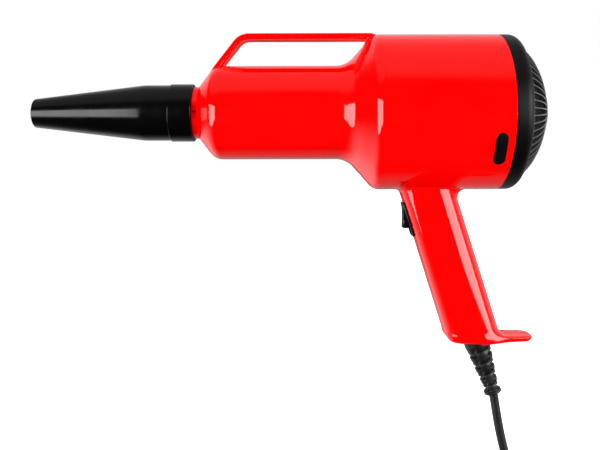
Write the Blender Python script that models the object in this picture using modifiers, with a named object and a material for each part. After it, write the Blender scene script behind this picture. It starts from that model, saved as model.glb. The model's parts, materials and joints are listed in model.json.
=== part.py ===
"""Car dryer blower: a hand-held flow-through blower, as an assembly of separate pieces.

Units are metres and +Z is up. The origin is the centre of the flat disc in the middle of the intake
grille, on the motor axis. The nozzle points along -X, the grip hangs down, and the two housing shells
meet on the plane Y = 0. Seen by the person who holds it, the left shell is the one at -Y.
"""

import math

import bmesh
import bpy
from mathutils import Matrix, Vector

MM = 0.001
GAP = 0.3 * MM                  # clearance between neighbouring pieces
WALL = 2.5 * MM                 # wall of the moulded shells
ARC_STEP = math.radians(26)     # longest step along a fillet

# Housing, along the motor axis
HOUSING_REAR_X = -38.0 * MM
DRUM_FRONT_X = -136.0 * MM      # where the drum meets the rear cone
BARREL_REAR_X = -157.0 * MM     # where the rear cone meets the barrel
BARREL_FRONT_X = -260.2 * MM    # where the barrel meets the front cone
NECK_REAR_X = -273.3 * MM
NECK_STEP_X = -277.1 * MM
SPIGOT_FRONT_X = -299.0 * MM
DRUM_R = 61.6 * MM
BARREL_R = 37.2 * MM
NECK_R = 20.6 * MM
SPIGOT_R = 19.7 * MM
DUCT_R = 17.2 * MM
FRONT_SLOPE = 1.28              # rise of the front cone and of the carry handle's leg

# Nozzle
NOZZLE_TIP_X = -404.7 * MM
NOZZLE_TIP_R = 11.4 * MM
NOZZLE_CONE_X = -316.5 * MM
NOZZLE_R = 22.1 * MM
COLLAR_R = 22.9 * MM
COLLAR_LENGTH = 18.0 * MM
NOZZLE_WALL = 2.4 * MM
NOZZLE_BORE_R = SPIGOT_R + 0.45 * MM

# Grip and heel plate
GRIP_TILT = math.radians(17.2)
GRIP_FRONT_X = -113.5 * MM      # front of the grip at the height of the drum's underside
GRIP_LENGTH_X = 43.2 * MM
GRIP_HALF_WIDTH = 18.0 * MM
GRIP_CORNER_R = 11.0 * MM
GRIP_BOTTOM_Z = -181.5 * MM
FLOOR_THICKNESS = 3.0 * MM
HEEL_TIP_X = -9.4 * MM
HEEL_THICKNESS = 4.8 * MM
HEEL_HALF_WIDTH = 12.0 * MM

# Carry handle
HANDLE_HALF_WIDTH = 9.6 * MM
HANDLE_BAR = 4.0 * MM
HANDLE_LEG = 5.2 * MM
HANDLE_CORNER_R = 15.0 * MM

# Intake cover
COVER_FRONT_X = -37.6 * MM
COVER_REAR_X = -23.4 * MM
COVER_SLEEVE_X = -41.5 * MM
COVER_SEAT_R = 54.6 * MM
COVER_INNER_R = 52.6 * MM
SLOT_COUNT = 60
RIB_WIDTH = 1.4 * MM
HUB_R = 8.5 * MM

# Release buttons of the intake cover
LATCH_X = -47.8 * MM
LATCH_ANGLE = math.radians(29.5)    # below the horizontal
LATCH_LENGTH = 26.0 * MM
LATCH_WIDTH = 8.4 * MM

# Fan and motor
SHROUD_REAR_X = -80.0 * MM
SHROUD_FRONT_X = -128.0 * MM
SHROUD_R = 53.0 * MM
SHEET = 1.2 * MM
IMPELLER_R = 48.0 * MM
BLADE_COUNT = 7
SHAFT_R = 4.0 * MM
BORE_R = 4.35 * MM
STATOR_REAR_X = -145.0 * MM
STATOR_FRONT_X = -181.0 * MM
STATOR_R = 31.0 * MM
ARMATURE_R = 15.7 * MM
ARMATURE_SLOTS = 12
POST_Z = 28.0 * MM              # height of the two through bolts
BOLT_HOLE_R = 2.3 * MM
BRUSH_X = -194.0 * MM

# Rocker switch, on the front of the grip
SWITCH_Z = -85.0 * MM
SWITCH_HALF_LENGTH = 14.3 * MM
SWITCH_BODY = 12.9 * MM        # half-length of the body behind the bezel
PIVOT_DEPTH = 5.3 * MM
ROCKER_TILT = math.radians(17.3)

# Mains cord
CORD_R = 3.5 * MM
CORD_TILT = math.radians(17.8)
BOOT_X = -51.8 * MM             # where the boot's axis leaves the grip
BOOT_Z = -185.0 * MM
CORD_END_Z = -285.0 * MM

# Screws that hold the shells together: (x, z)
SCREW_PLACES = (
    (-64.0 * MM, 50.0 * MM),
    (-134.5 * MM, 51.0 * MM),
    (-240.0 * MM, 27.0 * MM),
    (-240.0 * MM, -27.0 * MM),
    (-84.0 * MM, -122.0 * MM),
    (-72.5 * MM, -163.0 * MM),
)
BOSS_R = 5.0 * MM
SCREW_SEAT_Y = 6.0 * MM
SCREW_TIP_Y = -9.0 * MM


# ---------------------------------------------------------------- outlines

def rounded(corners, closed=False):
    """Points of an outline of (u, v) or (u, v, fillet radius) corners, with the fillets as arcs."""
    points = []
    last = len(corners) - 1
    for index, corner in enumerate(corners):
        here = Vector(corner[:2])
        radius = corner[2] if len(corner) > 2 else 0.0
        if radius == 0.0 or (not closed and index in (0, last)):
            points.append(here)
            continue
        back = (Vector(corners[index - 1][:2]) - here).normalized()
        ahead = (Vector(corners[0 if index == last else index + 1][:2]) - here).normalized()
        half = back.angle(ahead) / 2
        centre = here + (back + ahead).normalized() * radius / math.sin(half)
        start = here + back * radius / math.tan(half) - centre
        sweep = math.pi - 2 * half
        if back.cross(ahead) > 0:
            sweep = -sweep
        steps = max(2, math.ceil(abs(sweep) / ARC_STEP))
        for step in range(steps + 1):
            points.append(centre + Matrix.Rotation(sweep * step / steps, 2) @ start)
    return points


def shifted(corners, distance):
    """The line of corners moved sideways, to its left, by a distance. Fillets stay concentric."""
    moved = []
    last = len(corners) - 1
    for index, corner in enumerate(corners):
        here = Vector(corner[:2])
        ahead = here - Vector(corners[index - 1][:2]) if index else None
        after = Vector(corners[index + 1][:2]) - here if index < last else ahead
        ahead = (ahead or after).normalized()
        after = after.normalized()
        normal = (ahead + after).orthogonal().normalized()
        reach = distance / max(0.2, normal.dot(ahead.orthogonal()))
        turn = ahead.cross(after)
        radius = corner[2] if len(corner) > 2 else 0.0
        if radius:
            radius = max(0.5 * MM, radius - math.copysign(distance, turn))
        moved.append((*(here + normal * reach), radius))
    return moved


def arc(radius, start, end, steps, centre=(0.0, 0.0)):
    """Points on an arc, from the start angle to the end angle in degrees."""
    angles = [math.radians(start + (end - start) * step / steps) for step in range(steps + 1)]
    return [(centre[0] + radius * math.cos(a), centre[1] + radius * math.sin(a)) for a in angles]


def circle(radius, steps, centre=(0.0, 0.0)):
    """Points around a full circle."""
    return arc(radius, 0, 360 - 360 / steps, steps - 1, centre)


def sector(inner, outer, middle, half_angle, steps=3):
    """Outline of a window between two radii, centred on an angle in degrees."""
    low = middle - half_angle
    high = middle + half_angle
    return arc(outer, low, high, steps) + arc(inner, high, low, steps)


def rectangle(half_u, half_v):
    return [(-half_u, -half_v), (half_u, -half_v), (half_u, half_v), (-half_u, half_v)]


def pill(length, width, steps=4):
    """Outline of an oblong with round ends, long in its second coordinate."""
    reach = (length - width) / 2
    upper = arc(width / 2, 0, 180, steps, (0.0, reach))
    lower = arc(width / 2, 180, 360, steps, (0.0, -reach))
    return upper + lower


# ---------------------------------------------------------------- scene and materials

def clear_scene():
    for obj in list(bpy.data.objects):
        bpy.data.objects.remove(obj, do_unlink=True)


def new_collection(name):
    collection = bpy.data.collections.new(name)
    bpy.context.scene.collection.children.link(collection)
    return collection


def new_material(name, colour, roughness, metallic=0.0):
    material = bpy.data.materials.new(name)
    material.use_nodes = True
    shader = material.node_tree.nodes["Principled BSDF"]
    shader.inputs["Base Color"].default_value = (*colour, 1.0)
    shader.inputs["Roughness"].default_value = roughness
    shader.inputs["Metallic"].default_value = metallic
    return material


clear_scene()
PARTS = new_collection("car_dryer_blower")
CUTTERS = new_collection("cutters")

RED = new_material("red_gloss_plastic", (0.86, 0.005, 0.01), 0.16)
BLACK = new_material("black_satin_plastic", (0.012, 0.012, 0.013), 0.34)
DARK_RUBBER = new_material("black_rubber", (0.015, 0.015, 0.015), 0.55)
FOAM = new_material("grey_foam", (0.05, 0.05, 0.055), 0.95)
STEEL = new_material("steel", (0.55, 0.55, 0.56), 0.32, 1.0)
ALUMINIUM = new_material("aluminium", (0.75, 0.76, 0.77), 0.38, 1.0)
LAMINATION = new_material("laminated_steel", (0.32, 0.32, 0.33), 0.5, 1.0)
COPPER = new_material("copper", (0.72, 0.30, 0.14), 0.3, 1.0)
BRASS = new_material("brass", (0.72, 0.55, 0.25), 0.3, 1.0)
CARBON = new_material("carbon", (0.03, 0.03, 0.03), 0.6)
BROWN_WIRE = new_material("brown_insulation", (0.18, 0.07, 0.03), 0.45)
BLUE_WIRE = new_material("blue_insulation", (0.02, 0.12, 0.45), 0.45)


# ---------------------------------------------------------------- shapes

def add(name, data, material):
    """A new object in the parts' collection."""
    obj = bpy.data.objects.new(name, data)
    data.materials.append(material)
    PARTS.objects.link(obj)
    return obj


def frame(origin, u, v):
    """A placement whose first two axes run along u and v."""
    u = Vector(u).normalized()
    v = Vector(v).normalized()
    return Matrix.Translation(origin) @ Matrix((u, v, u.cross(v))).transposed().to_4x4()


def along(axis, origin=(0.0, 0.0, 0.0)):
    """A placement whose Z axis runs along the given axis."""
    turn = Vector((0.0, 0.0, 1.0)).rotation_difference(Vector(axis))
    return Matrix.Translation(origin) @ turn.to_matrix().to_4x4()


AXIS_X = along((1, 0, 0))
OFF_SEAM = AXIS_X @ Matrix.Rotation(math.radians(2.3), 4, "Z")      # edges clear of the shells' own
FACING_X = frame((0, 0, 0), (0, 1, 0), (0, 0, 1))    # outlines in (y, z), thickness along +X
FACING_Y = frame((0, 0, 0), (1, 0, 0), (0, 0, 1))    # outlines in (x, z), thickness along -Y


def turned(name, outline, material, segments=32, place=AXIS_X):
    """A body turned about its placement's Z axis, from points of (height, radius).

    The outline is closed, or starts and ends on the axis.
    """
    outline = [tuple(point) for point in outline]
    pairs = list(zip(outline, outline[1:] + outline[:1]))
    if sum(a[0] * b[1] - b[0] * a[1] for a, b in pairs) < 0:
        outline.reverse()
    solid = min(radius for _, radius in outline) <= 0.0
    if solid:
        while outline[0][1] > 0.0 or outline[-1][1] > 0.0:
            outline.append(outline.pop(0))
    edges = [(index, index + 1) for index in range(len(outline) - 1)]
    if not solid:
        edges.append((len(outline) - 1, 0))
    mesh = bpy.data.meshes.new(name)
    mesh.from_pydata([(radius, 0.0, height) for height, radius in outline], edges, [])
    obj = add(name, mesh, material)
    obj.matrix_world = place
    screw = obj.modifiers.new("Turn", "SCREW")
    screw.steps = segments
    screw.render_steps = segments
    screw.use_merge_vertices = True
    screw.merge_threshold = 0.00001
    if solid:
        weld = obj.modifiers.new("Close ends", "WELD")
        weld.merge_threshold = 0.00001
    return obj


def tube(name, outer, inner, low, high, material, segments=24, place=AXIS_X):
    """A plain ring, or a plain cylinder where the inner radius is 0."""
    outline = [(low, inner), (high, inner), (high, outer), (low, outer)]
    return turned(name, outline, material, segments, place)


def block(name, low, high, material, place=Matrix()):
    """A box between two corners of its placement."""
    mesh = bpy.data.meshes.new(name)
    solid = bmesh.new()
    bmesh.ops.create_cube(solid, size=1.0)
    size = Vector(high) - Vector(low)
    bmesh.ops.scale(solid, vec=size, verts=solid.verts)
    bmesh.ops.translate(solid, vec=Vector(low) + size / 2, verts=solid.verts)
    solid.to_mesh(mesh)
    solid.free()
    obj = add(name, mesh, material)
    obj.matrix_world = place
    return obj


def meshed(guide, material):
    """The curve object as one welded mesh object of the same name."""
    name = guide.name
    bpy.context.view_layer.update()
    evaluated = guide.evaluated_get(bpy.context.evaluated_depsgraph_get())
    mesh = bpy.data.meshes.new_from_object(evaluated)
    welded = bmesh.new()
    welded.from_mesh(mesh)
    bmesh.ops.remove_doubles(welded, verts=welded.verts, dist=0.000001)
    welded.to_mesh(mesh)
    welded.free()
    place = guide.matrix_world.copy()
    bpy.data.objects.remove(guide, do_unlink=True)
    mesh.materials.clear()
    obj = add(name, mesh, material)
    obj.name = name
    obj.matrix_world = place
    return obj


def plate(name, outlines, low, high, material, place=Matrix()):
    """A flat piece: its first outline is the rim, and any others are holes."""
    curve = bpy.data.curves.new(name, "CURVE")
    curve.dimensions = "2D"
    curve.fill_mode = "BOTH"
    curve.extrude = (high - low) / 2
    for outline in outlines:
        spline = curve.splines.new("POLY")
        spline.points.add(len(outline) - 1)
        for point, (u, v) in zip(spline.points, outline):
            point.co = (u, v, 0.0, 1.0)
        spline.use_cyclic_u = True
    guide = add(name, curve, material)
    guide.matrix_world = place @ Matrix.Translation((0.0, 0.0, (low + high) / 2))
    return meshed(guide, material)


def wire(name, points, radius, material, closed=False, sides=2):
    """A round wire along straight stretches between points."""
    curve = bpy.data.curves.new(name, "CURVE")
    curve.dimensions = "3D"
    curve.bevel_depth = radius
    curve.bevel_resolution = sides
    curve.use_fill_caps = True
    spline = curve.splines.new("POLY")
    spline.points.add(len(points) - 1)
    for point, place in zip(spline.points, points):
        point.co = (*place, 1.0)
    spline.use_cyclic_u = closed
    return meshed(add(name, curve, material), material)


def smooth_path(corners, steps=2):
    """Points of a soft line through corners (a Catmull-Rom spline)."""
    line = [Vector(corner) for corner in corners]
    line = [2 * line[0] - line[1], *line, 2 * line[-1] - line[-2]]
    points = []
    for a, b, c, d in zip(line, line[1:], line[2:], line[3:]):
        for step in range(steps):
            t = step / steps
            pull = (2 * a - 5 * b + 4 * c - d) * t * t + (3 * b - a - 3 * c + d) * t ** 3
            points.append((2 * b + (c - a) * t + pull) / 2)
    return points + [line[-2]]


def tool(obj):
    """Take an object out of the model, to cut or join with."""
    PARTS.objects.unlink(obj)
    CUTTERS.objects.link(obj)
    obj.hide_render = True
    obj.display_type = "WIRE"
    return obj


def boolean(obj, operation, others):
    """Cut, join or intersect an object with others, in turn."""
    for other in others:
        modifier = obj.modifiers.new(other.name, "BOOLEAN")
        modifier.operation = operation
        modifier.solver = "EXACT"
        modifier.object = tool(other)
    return obj


def cut(obj, *others):
    return boolean(obj, "DIFFERENCE", others)


def join(obj, *others):
    return boolean(obj, "UNION", others)


def move_origin(obj, point):
    """Put the object's origin at a point, and leave its shape where it is."""
    bpy.context.view_layer.update()
    shift = obj.matrix_world.inverted() @ Vector(point)
    obj.data.transform(Matrix.Translation(-shift))
    obj.matrix_world = obj.matrix_world @ Matrix.Translation(shift)


# ---------------------------------------------------------------- grip

def grip_section(z, inset):
    """Rounded rectangle of the grip at a height, inset by a wall thickness, as 3-D points."""
    top = -DRUM_R
    front = GRIP_FRONT_X + math.tan(GRIP_TILT) * (top - z)
    rear = front + GRIP_LENGTH_X
    side = GRIP_HALF_WIDTH

    def flare(radius):
        rise = min(1.0, max(0.0, (z - top + radius) / radius))
        return radius * (1 - math.sqrt(1 - rise * rise))

    if inset == 0.0:
        front -= flare(5.4 * MM)
        rear += flare(9.2 * MM)
        side += flare(6.0 * MM)
        toe = 7.0 * MM
        drop = min(1.0, max(0.0, (GRIP_BOTTOM_Z + toe - z) / toe))
        front += toe * (1 - math.sqrt(1 - drop * drop))
    front += inset / math.cos(GRIP_TILT)
    rear -= inset / math.cos(GRIP_TILT)
    side -= inset
    corner = GRIP_CORNER_R - inset
    centres = ((rear, side), (front, side), (front, -side), (rear, -side))
    points = []
    for quarter, (x, y) in enumerate(centres):
        middle = (x - math.copysign(corner, x - (front + rear) / 2), y - math.copysign(corner, y))
        points += arc(corner, 90 * quarter, 90 * quarter + 90, 4, middle)
    return [(x, y, z) for x, y in points]


def grip_loft(name, heights, inset):
    """The grip as a loft through its sections, from the bottom up."""
    mesh = bpy.data.meshes.new(name)
    loft = bmesh.new()
    rings = [[loft.verts.new(point) for point in grip_section(z, inset)] for z in heights]
    for lower, upper in zip(rings, rings[1:]):
        for index in range(len(lower)):
            after = (index + 1) % len(lower)
            loft.faces.new((lower[index], lower[after], upper[after], upper[index]))
    loft.faces.new(rings[0][::-1])
    loft.faces.new(rings[-1])
    loft.to_mesh(mesh)
    loft.free()
    return add(name, mesh, RED)


def heel_plate():
    """The flat tail behind the grip's foot."""
    root_x = -60.0 * MM
    outline = rounded([
        (root_x, -GRIP_HALF_WIDTH + 2 * MM),
        (-44.0 * MM, -GRIP_HALF_WIDTH + 2 * MM, 8 * MM),
        (-30.0 * MM, -HEEL_HALF_WIDTH, 20 * MM),
        (HEEL_TIP_X, -HEEL_HALF_WIDTH + 1.5 * MM, 9 * MM),
        (HEEL_TIP_X, HEEL_HALF_WIDTH - 1.5 * MM, 9 * MM),
        (-30.0 * MM, HEEL_HALF_WIDTH, 20 * MM),
        (-44.0 * MM, GRIP_HALF_WIDTH - 2 * MM, 8 * MM),
        (root_x, GRIP_HALF_WIDTH - 2 * MM),
    ])
    return plate("heel", [outline], GRIP_BOTTOM_Z, GRIP_BOTTOM_Z + HEEL_THICKNESS, RED)


# ---------------------------------------------------------------- housing

def carry_handle():
    """An arch that carries on the lines of the front cone and of the drum."""
    top = DRUM_R - 0.05 * MM
    cone_x = BARREL_FRONT_X - BARREL_R / FRONT_SLOPE      # where the cone's line meets the axis
    leg_shift = HANDLE_LEG * math.hypot(1.0, FRONT_SLOPE) / FRONT_SLOPE
    low = BARREL_R - 6 * MM
    under = top - HANDLE_BAR
    outline = rounded([
        (cone_x + low / FRONT_SLOPE + 1 * MM, low),
        (cone_x + top / FRONT_SLOPE, top, HANDLE_CORNER_R),
        (-125.0 * MM, top),
        (-125.0 * MM, BARREL_R),
        (-150.0 * MM, low),
        (-160.0 * MM, low),
        (-158.0 * MM, BARREL_R - 0.5 * MM, 0.0),
        (-147.1 * MM, 43.3 * MM, 3 * MM),
        (-139.8 * MM, under, 1.5 * MM),
        (cone_x + under / FRONT_SLOPE + leg_shift, under, 8 * MM),
        (cone_x + low / FRONT_SLOPE + leg_shift, low),
    ], closed=True)
    return plate("handle", [outline], -HANDLE_HALF_WIDTH, HANDLE_HALF_WIDTH, RED, FACING_Y)


def outer_line():
    """Corners of the housing's outside, from the rear to the front cone's foot."""
    return [
        (HOUSING_REAR_X, DRUM_R),
        (DRUM_FRONT_X, DRUM_R, 10 * MM),
        (BARREL_REAR_X, BARREL_R, 9 * MM),
        (BARREL_FRONT_X, BARREL_R, 9 * MM),
        (NECK_REAR_X, BARREL_R - (BARREL_FRONT_X - NECK_REAR_X) * FRONT_SLOPE),
    ]


def housing_cavity():
    """The space inside the shells, less everything moulded into them."""
    inner = shifted(outer_line(), WALL)
    inner[0] = (HOUSING_REAR_X + 5 * MM, inner[0][1])
    outline = [(inner[0][0], 0.0), *rounded(inner[:4] + [(NECK_REAR_X + 1 * MM, DUCT_R)]),
               (SPIGOT_FRONT_X - 5 * MM, DUCT_R), (SPIGOT_FRONT_X - 5 * MM, 0.0)]
    cavity = turned("cavity", outline, RED, 32)
    heights = [GRIP_BOTTOM_Z + FLOOR_THICKNESS, -75 * MM, -47 * MM]
    join(cavity, grip_loft("grip_cavity", heights, WALL))

    kept = [tube("bulkhead", DRUM_R + 5 * MM, 41 * MM, -76 * MM, -73.5 * MM, RED, 24, OFF_SEAM)]
    for index, (x, z) in enumerate(SCREW_PLACES):
        place = along((0, 1, 0), (x, 0, z))
        kept.append(tube(f"boss_{index}", BOSS_R, 0.0, -70 * MM, 70 * MM, RED, 8, place))
    for index in range(4):
        turn = Matrix.Rotation(math.radians(45 + 90 * index), 4, "X")
        low = (SHROUD_FRONT_X + 4 * MM, -1.5 * MM, SHROUD_R + 0.4 * MM)
        high = (SHROUD_REAR_X - 4 * MM, 1.5 * MM, DRUM_R + 3 * MM)
        kept.append(block(f"shroud_rib_{index}", low, high, RED, turn))
    for side in (-1, 1):
        inside, outside = sorted((side * 5.5 * MM, side * 30 * MM))
        low = (-66 * MM, inside, -158 * MM)
        kept.append(block(f"clamp_post_{side}", low, (-57 * MM, outside, -148 * MM), RED))
    kept.append(motor_seat())
    return cut(cavity, *kept)


def motor_seat():
    """The ring on four arms that holds the front end of the motor."""
    low = -221 * MM
    high = -214 * MM
    seat = tube("motor_seat", 17 * MM, 0.0, low, high, RED, 16, OFF_SEAM)
    reach = BARREL_R + 3 * MM
    join(seat,
         block("seat_arm_z", (low, -2 * MM, -reach), (high, 2 * MM, reach), RED),
         block("seat_arm_y", (low, -reach, -2 * MM), (high, reach, 2 * MM), RED))
    return cut(seat, tube("seat_bore", 13.5 * MM, 0.0, low - MM, high + MM, RED, 16))


def latch_place(side):
    """Placement on a release button's axis: u along +X, v around the drum, w outwards."""
    outward = Vector((0.0, side * math.cos(LATCH_ANGLE), -math.sin(LATCH_ANGLE)))
    return frame((LATCH_X, 0, 0), (1, 0, 0), outward.cross(Vector((1, 0, 0))))


def latch_pill(name, margin, low, high, side, material):
    """An oblong block through the drum's wall at a release button."""
    outline = pill(LATCH_LENGTH + 2 * margin, LATCH_WIDTH + 2 * margin)
    return plate(name, [outline], low, high, material, latch_place(side))


def switch_frame():
    """Placement on the grip's front face: u down the face, v outwards, w along +Y."""
    x = GRIP_FRONT_X + math.tan(GRIP_TILT) * (-DRUM_R - SWITCH_Z)
    down = (math.sin(GRIP_TILT), 0, -math.cos(GRIP_TILT))
    out = (-math.cos(GRIP_TILT), 0, -math.sin(GRIP_TILT))
    return frame((x, 0, SWITCH_Z), down, out)


def boot_frame():
    """Placement on the cord's axis where it leaves the grip, pointing down and back."""
    return along((math.sin(CORD_TILT), 0, -math.cos(CORD_TILT)), (BOOT_X, 0, BOOT_Z))


def housing_blank():
    """Both shells in one, before they are parted."""
    line = outer_line()
    outline = [(HOUSING_REAR_X, 0.0), *rounded(line), (NECK_REAR_X, NECK_R), (NECK_STEP_X, NECK_R),
               (NECK_STEP_X, SPIGOT_R), (SPIGOT_FRONT_X, SPIGOT_R), (SPIGOT_FRONT_X, 0.0)]
    blank = turned("housing_blank", outline, RED, 32)
    bottom = GRIP_BOTTOM_Z
    heights = [bottom, bottom + MM, bottom + 3 * MM, bottom + 7 * MM,
               -71 * MM, -68 * MM, -65 * MM, -63 * MM, -61.6 * MM, -55 * MM]
    join(blank, grip_loft("grip", heights, 0.0), heel_plate(), carry_handle())
    cut(blank, housing_cavity())

    holes = []
    for index, (x, z) in enumerate(SCREW_PLACES):
        place = along((0, 1, 0), (x, 0, z))
        holes.append(tube(f"pilot_{index}", 1.75 * MM, 0.0, SCREW_TIP_Y - MM, 20 * MM, RED, 6, place))
        holes.append(tube(f"head_bore_{index}", 3.6 * MM, 0.0, SCREW_SEAT_Y, 70 * MM, RED, 8, place))
    for side in (-1, 1):
        holes.append(latch_pill(f"latch_slot_{side}", GAP, 50 * MM, 70 * MM, side, RED))
        place = along((1, 0, 0), (0, side * 8 * MM, -153 * MM))
        holes.append(tube(f"clamp_pilot_{side}", 1.3 * MM, 0.0, -64 * MM, -50 * MM, RED, 10, place))
    window = SWITCH_BODY + GAP
    holes.append(block("switch_window", (-window, -8 * MM, -6.7 * MM), (window, 8 * MM, 6.7 * MM),
                       RED, switch_frame()))
    holes.append(tube("boot_hole", 11.1 * MM, 0.0, -12 * MM, 9 * MM, RED, 16, boot_frame()))
    return cut(blank, *holes)


def add_housing():
    """The two shells, parted on the middle plane."""
    blank = housing_blank()
    bpy.context.view_layer.update()
    evaluated = blank.evaluated_get(bpy.context.evaluated_depsgraph_get())
    whole = bpy.data.meshes.new_from_object(evaluated)
    whole.transform(blank.matrix_world)
    tool(blank)
    whole.materials.clear()
    for name, side in (("housing_left", -1), ("housing_right", 1)):
        half = add(name, whole.copy(), RED)
        near, far = sorted((side * GAP / 2, side * 100 * MM))
        room = block(f"{name}_room", (-350 * MM, near, -200 * MM), (10 * MM, far, 100 * MM), RED)
        boolean(half, "INTERSECT", [room])


def add_housing_screws():
    """Self-tapping screws, put in from the right."""
    for index, (x, z) in enumerate(SCREW_PLACES):
        head = SCREW_SEAT_Y + GAP
        outline = [(SCREW_TIP_Y, 0.0), (SCREW_TIP_Y + 1.2 * MM, 1.2 * MM), (head, 1.2 * MM),
                   (head, 3.0 * MM), (head + 1.4 * MM, 3.0 * MM), (head + 2.4 * MM, 1.5 * MM),
                   (head + 1.0 * MM, 0.0)]
        place = along((0, 1, 0), (x, 0, z))
        turned(f"housing_screw_{index + 1}", outline, STEEL, 8, place)


# ---------------------------------------------------------------- nozzle and intake cover

def add_nozzle():
    collar_rear = NECK_STEP_X - GAP
    collar_front = collar_rear - COLLAR_LENGTH
    shoulder = SPIGOT_FRONT_X - GAP
    tip_bore = NOZZLE_TIP_R - NOZZLE_WALL
    outline = rounded([
        (collar_rear, NOZZLE_BORE_R), (collar_rear, COLLAR_R, 0.9 * MM),
        (collar_front, COLLAR_R), (collar_front, NOZZLE_R),
        (NOZZLE_CONE_X, NOZZLE_R, 20 * MM), (NOZZLE_TIP_X + MM, NOZZLE_TIP_R),
        (NOZZLE_TIP_X, NOZZLE_TIP_R - 0.6 * MM), (NOZZLE_TIP_X, tip_bore),
        (NOZZLE_CONE_X, NOZZLE_R - NOZZLE_WALL), (shoulder - 2 * MM, NOZZLE_R - NOZZLE_WALL),
        (shoulder, DUCT_R), (shoulder, NOZZLE_BORE_R),
    ], closed=True)
    turned("nozzle", outline, BLACK, 28)


def add_cover_ring():
    sleeve_r = DRUM_R - WALL - GAP
    outline = rounded([
        (COVER_FRONT_X, DRUM_R), (-27.6 * MM, DRUM_R - 0.3 * MM, 10 * MM), (COVER_REAR_X, 57.6 * MM),
        (COVER_REAR_X, COVER_SEAT_R), (-28 * MM, COVER_SEAT_R), (-28 * MM, 50.5 * MM),
        (-30 * MM, 50.5 * MM), (-30 * MM, COVER_INNER_R), (COVER_SLEEVE_X, COVER_INNER_R),
        (COVER_SLEEVE_X, sleeve_r), (COVER_FRONT_X, sleeve_r),
    ], closed=True)
    ring = turned("cover_ring", outline, BLACK, 32)
    for side in (-1, 1):
        middle = math.degrees(math.atan2(-math.sin(LATCH_ANGLE), side * math.cos(LATCH_ANGLE)))
        finger = sector(52.8 * MM, 54.7 * MM, middle, 9)
        join(ring, plate(f"finger_{side}", [finger], -53 * MM, -40.5 * MM, BLACK, FACING_X))


def add_grille():
    """The slotted dome, with a flat disc at its middle."""
    rim = COVER_SEAT_R - 2 * GAP
    line = [(-27.7 * MM, rim), (-22.8 * MM, rim), (-15.2 * MM, 46 * MM), (-8.8 * MM, 36 * MM),
            (-4.4 * MM, 26 * MM), (0.0, HUB_R), (0.0, 0.0)]
    inner = [(-2.4 * MM, 0.0), (-2.8 * MM, HUB_R), (-8.6 * MM, 29 * MM),
             (-18.4 * MM, 45 * MM), (-27.7 * MM, 51.4 * MM)]
    dome = turned("intake_grille", [*line, *inner], BLACK, SLOT_COUNT)
    slots = bmesh.new()
    inside = 20 * MM
    outside = 50.6 * MM
    pitch = 2 * math.pi / SLOT_COUNT
    for index in range(SLOT_COUNT):
        made = bmesh.ops.create_cube(slots, size=1.0)["verts"]
        for vert in made:
            radius = inside if vert.co.z < 0 else outside
            width = radius * pitch - RIB_WIDTH
            vert.co = (vert.co.x * 60 * MM, vert.co.y * width, radius)
        turn = Matrix.Rotation(pitch * index, 4, "X")
        bmesh.ops.transform(slots, matrix=turn, verts=made)
    mesh = bpy.data.meshes.new("grille_slots")
    slots.to_mesh(mesh)
    slots.free()
    cut(dome, add("grille_slots", mesh, BLACK))


def add_filter():
    tube("filter_foam", COVER_INNER_R - 0.6 * MM, 0.0, -38.3 * MM, -30.3 * MM, FOAM)
    rim = circle(COVER_INNER_R - 0.6 * MM, 24)
    windows = [sector(14 * MM, 47 * MM, 60 * index, 25, 2) for index in range(6)]
    plate("filter_retainer", [rim, *windows], -41.4 * MM, -38.6 * MM, BLACK, FACING_X)


def add_latch_buttons():
    """Release buttons, curved like the drum, each with a flange that keeps it in its slot."""
    for name, side in (("latch_button_left", -1), ("latch_button_right", 1)):
        button = latch_pill(name, 0.0, 50 * MM, 70 * MM, side, BLACK)
        low = LATCH_X - 20 * MM
        high = LATCH_X + 20 * MM
        keep = tube(f"{name}_keep", DRUM_R + 0.1 * MM, 57.2 * MM, low, high, BLACK, 72)
        boolean(button, "INTERSECT", [keep])
        flange = latch_pill(f"{name}_flange", 1.4 * MM, 50 * MM, 70 * MM, side, BLACK)
        shell = tube(f"{name}_shell", DRUM_R - WALL - 0.5 * MM, 57.0 * MM, low, high, BLACK, 72)
        boolean(flange, "INTERSECT", [shell])
        join(button, flange)
        move_origin(button, latch_place(side) @ Vector((0, 0, DRUM_R)))


# ---------------------------------------------------------------- fan

def add_shroud():
    outer = SHROUD_R
    inner = SHROUD_R - SHEET
    eye = 17 * MM
    back = SHROUD_REAR_X
    outline = rounded([
        (back, eye), (back, outer, 5 * MM), (SHROUD_FRONT_X, outer), (SHROUD_FRONT_X, inner),
        (back - SHEET, inner, 4 * MM), (back - SHEET, eye + SHEET), (back - 4.2 * MM, eye + SHEET),
        (back - 4.2 * MM, eye),
    ], closed=True)
    turned("fan_shroud", outline, STEEL, 28)
    tube("shroud_gasket", 51 * MM, 42 * MM, back + GAP, -76 * MM - GAP, DARK_RUBBER)


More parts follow.
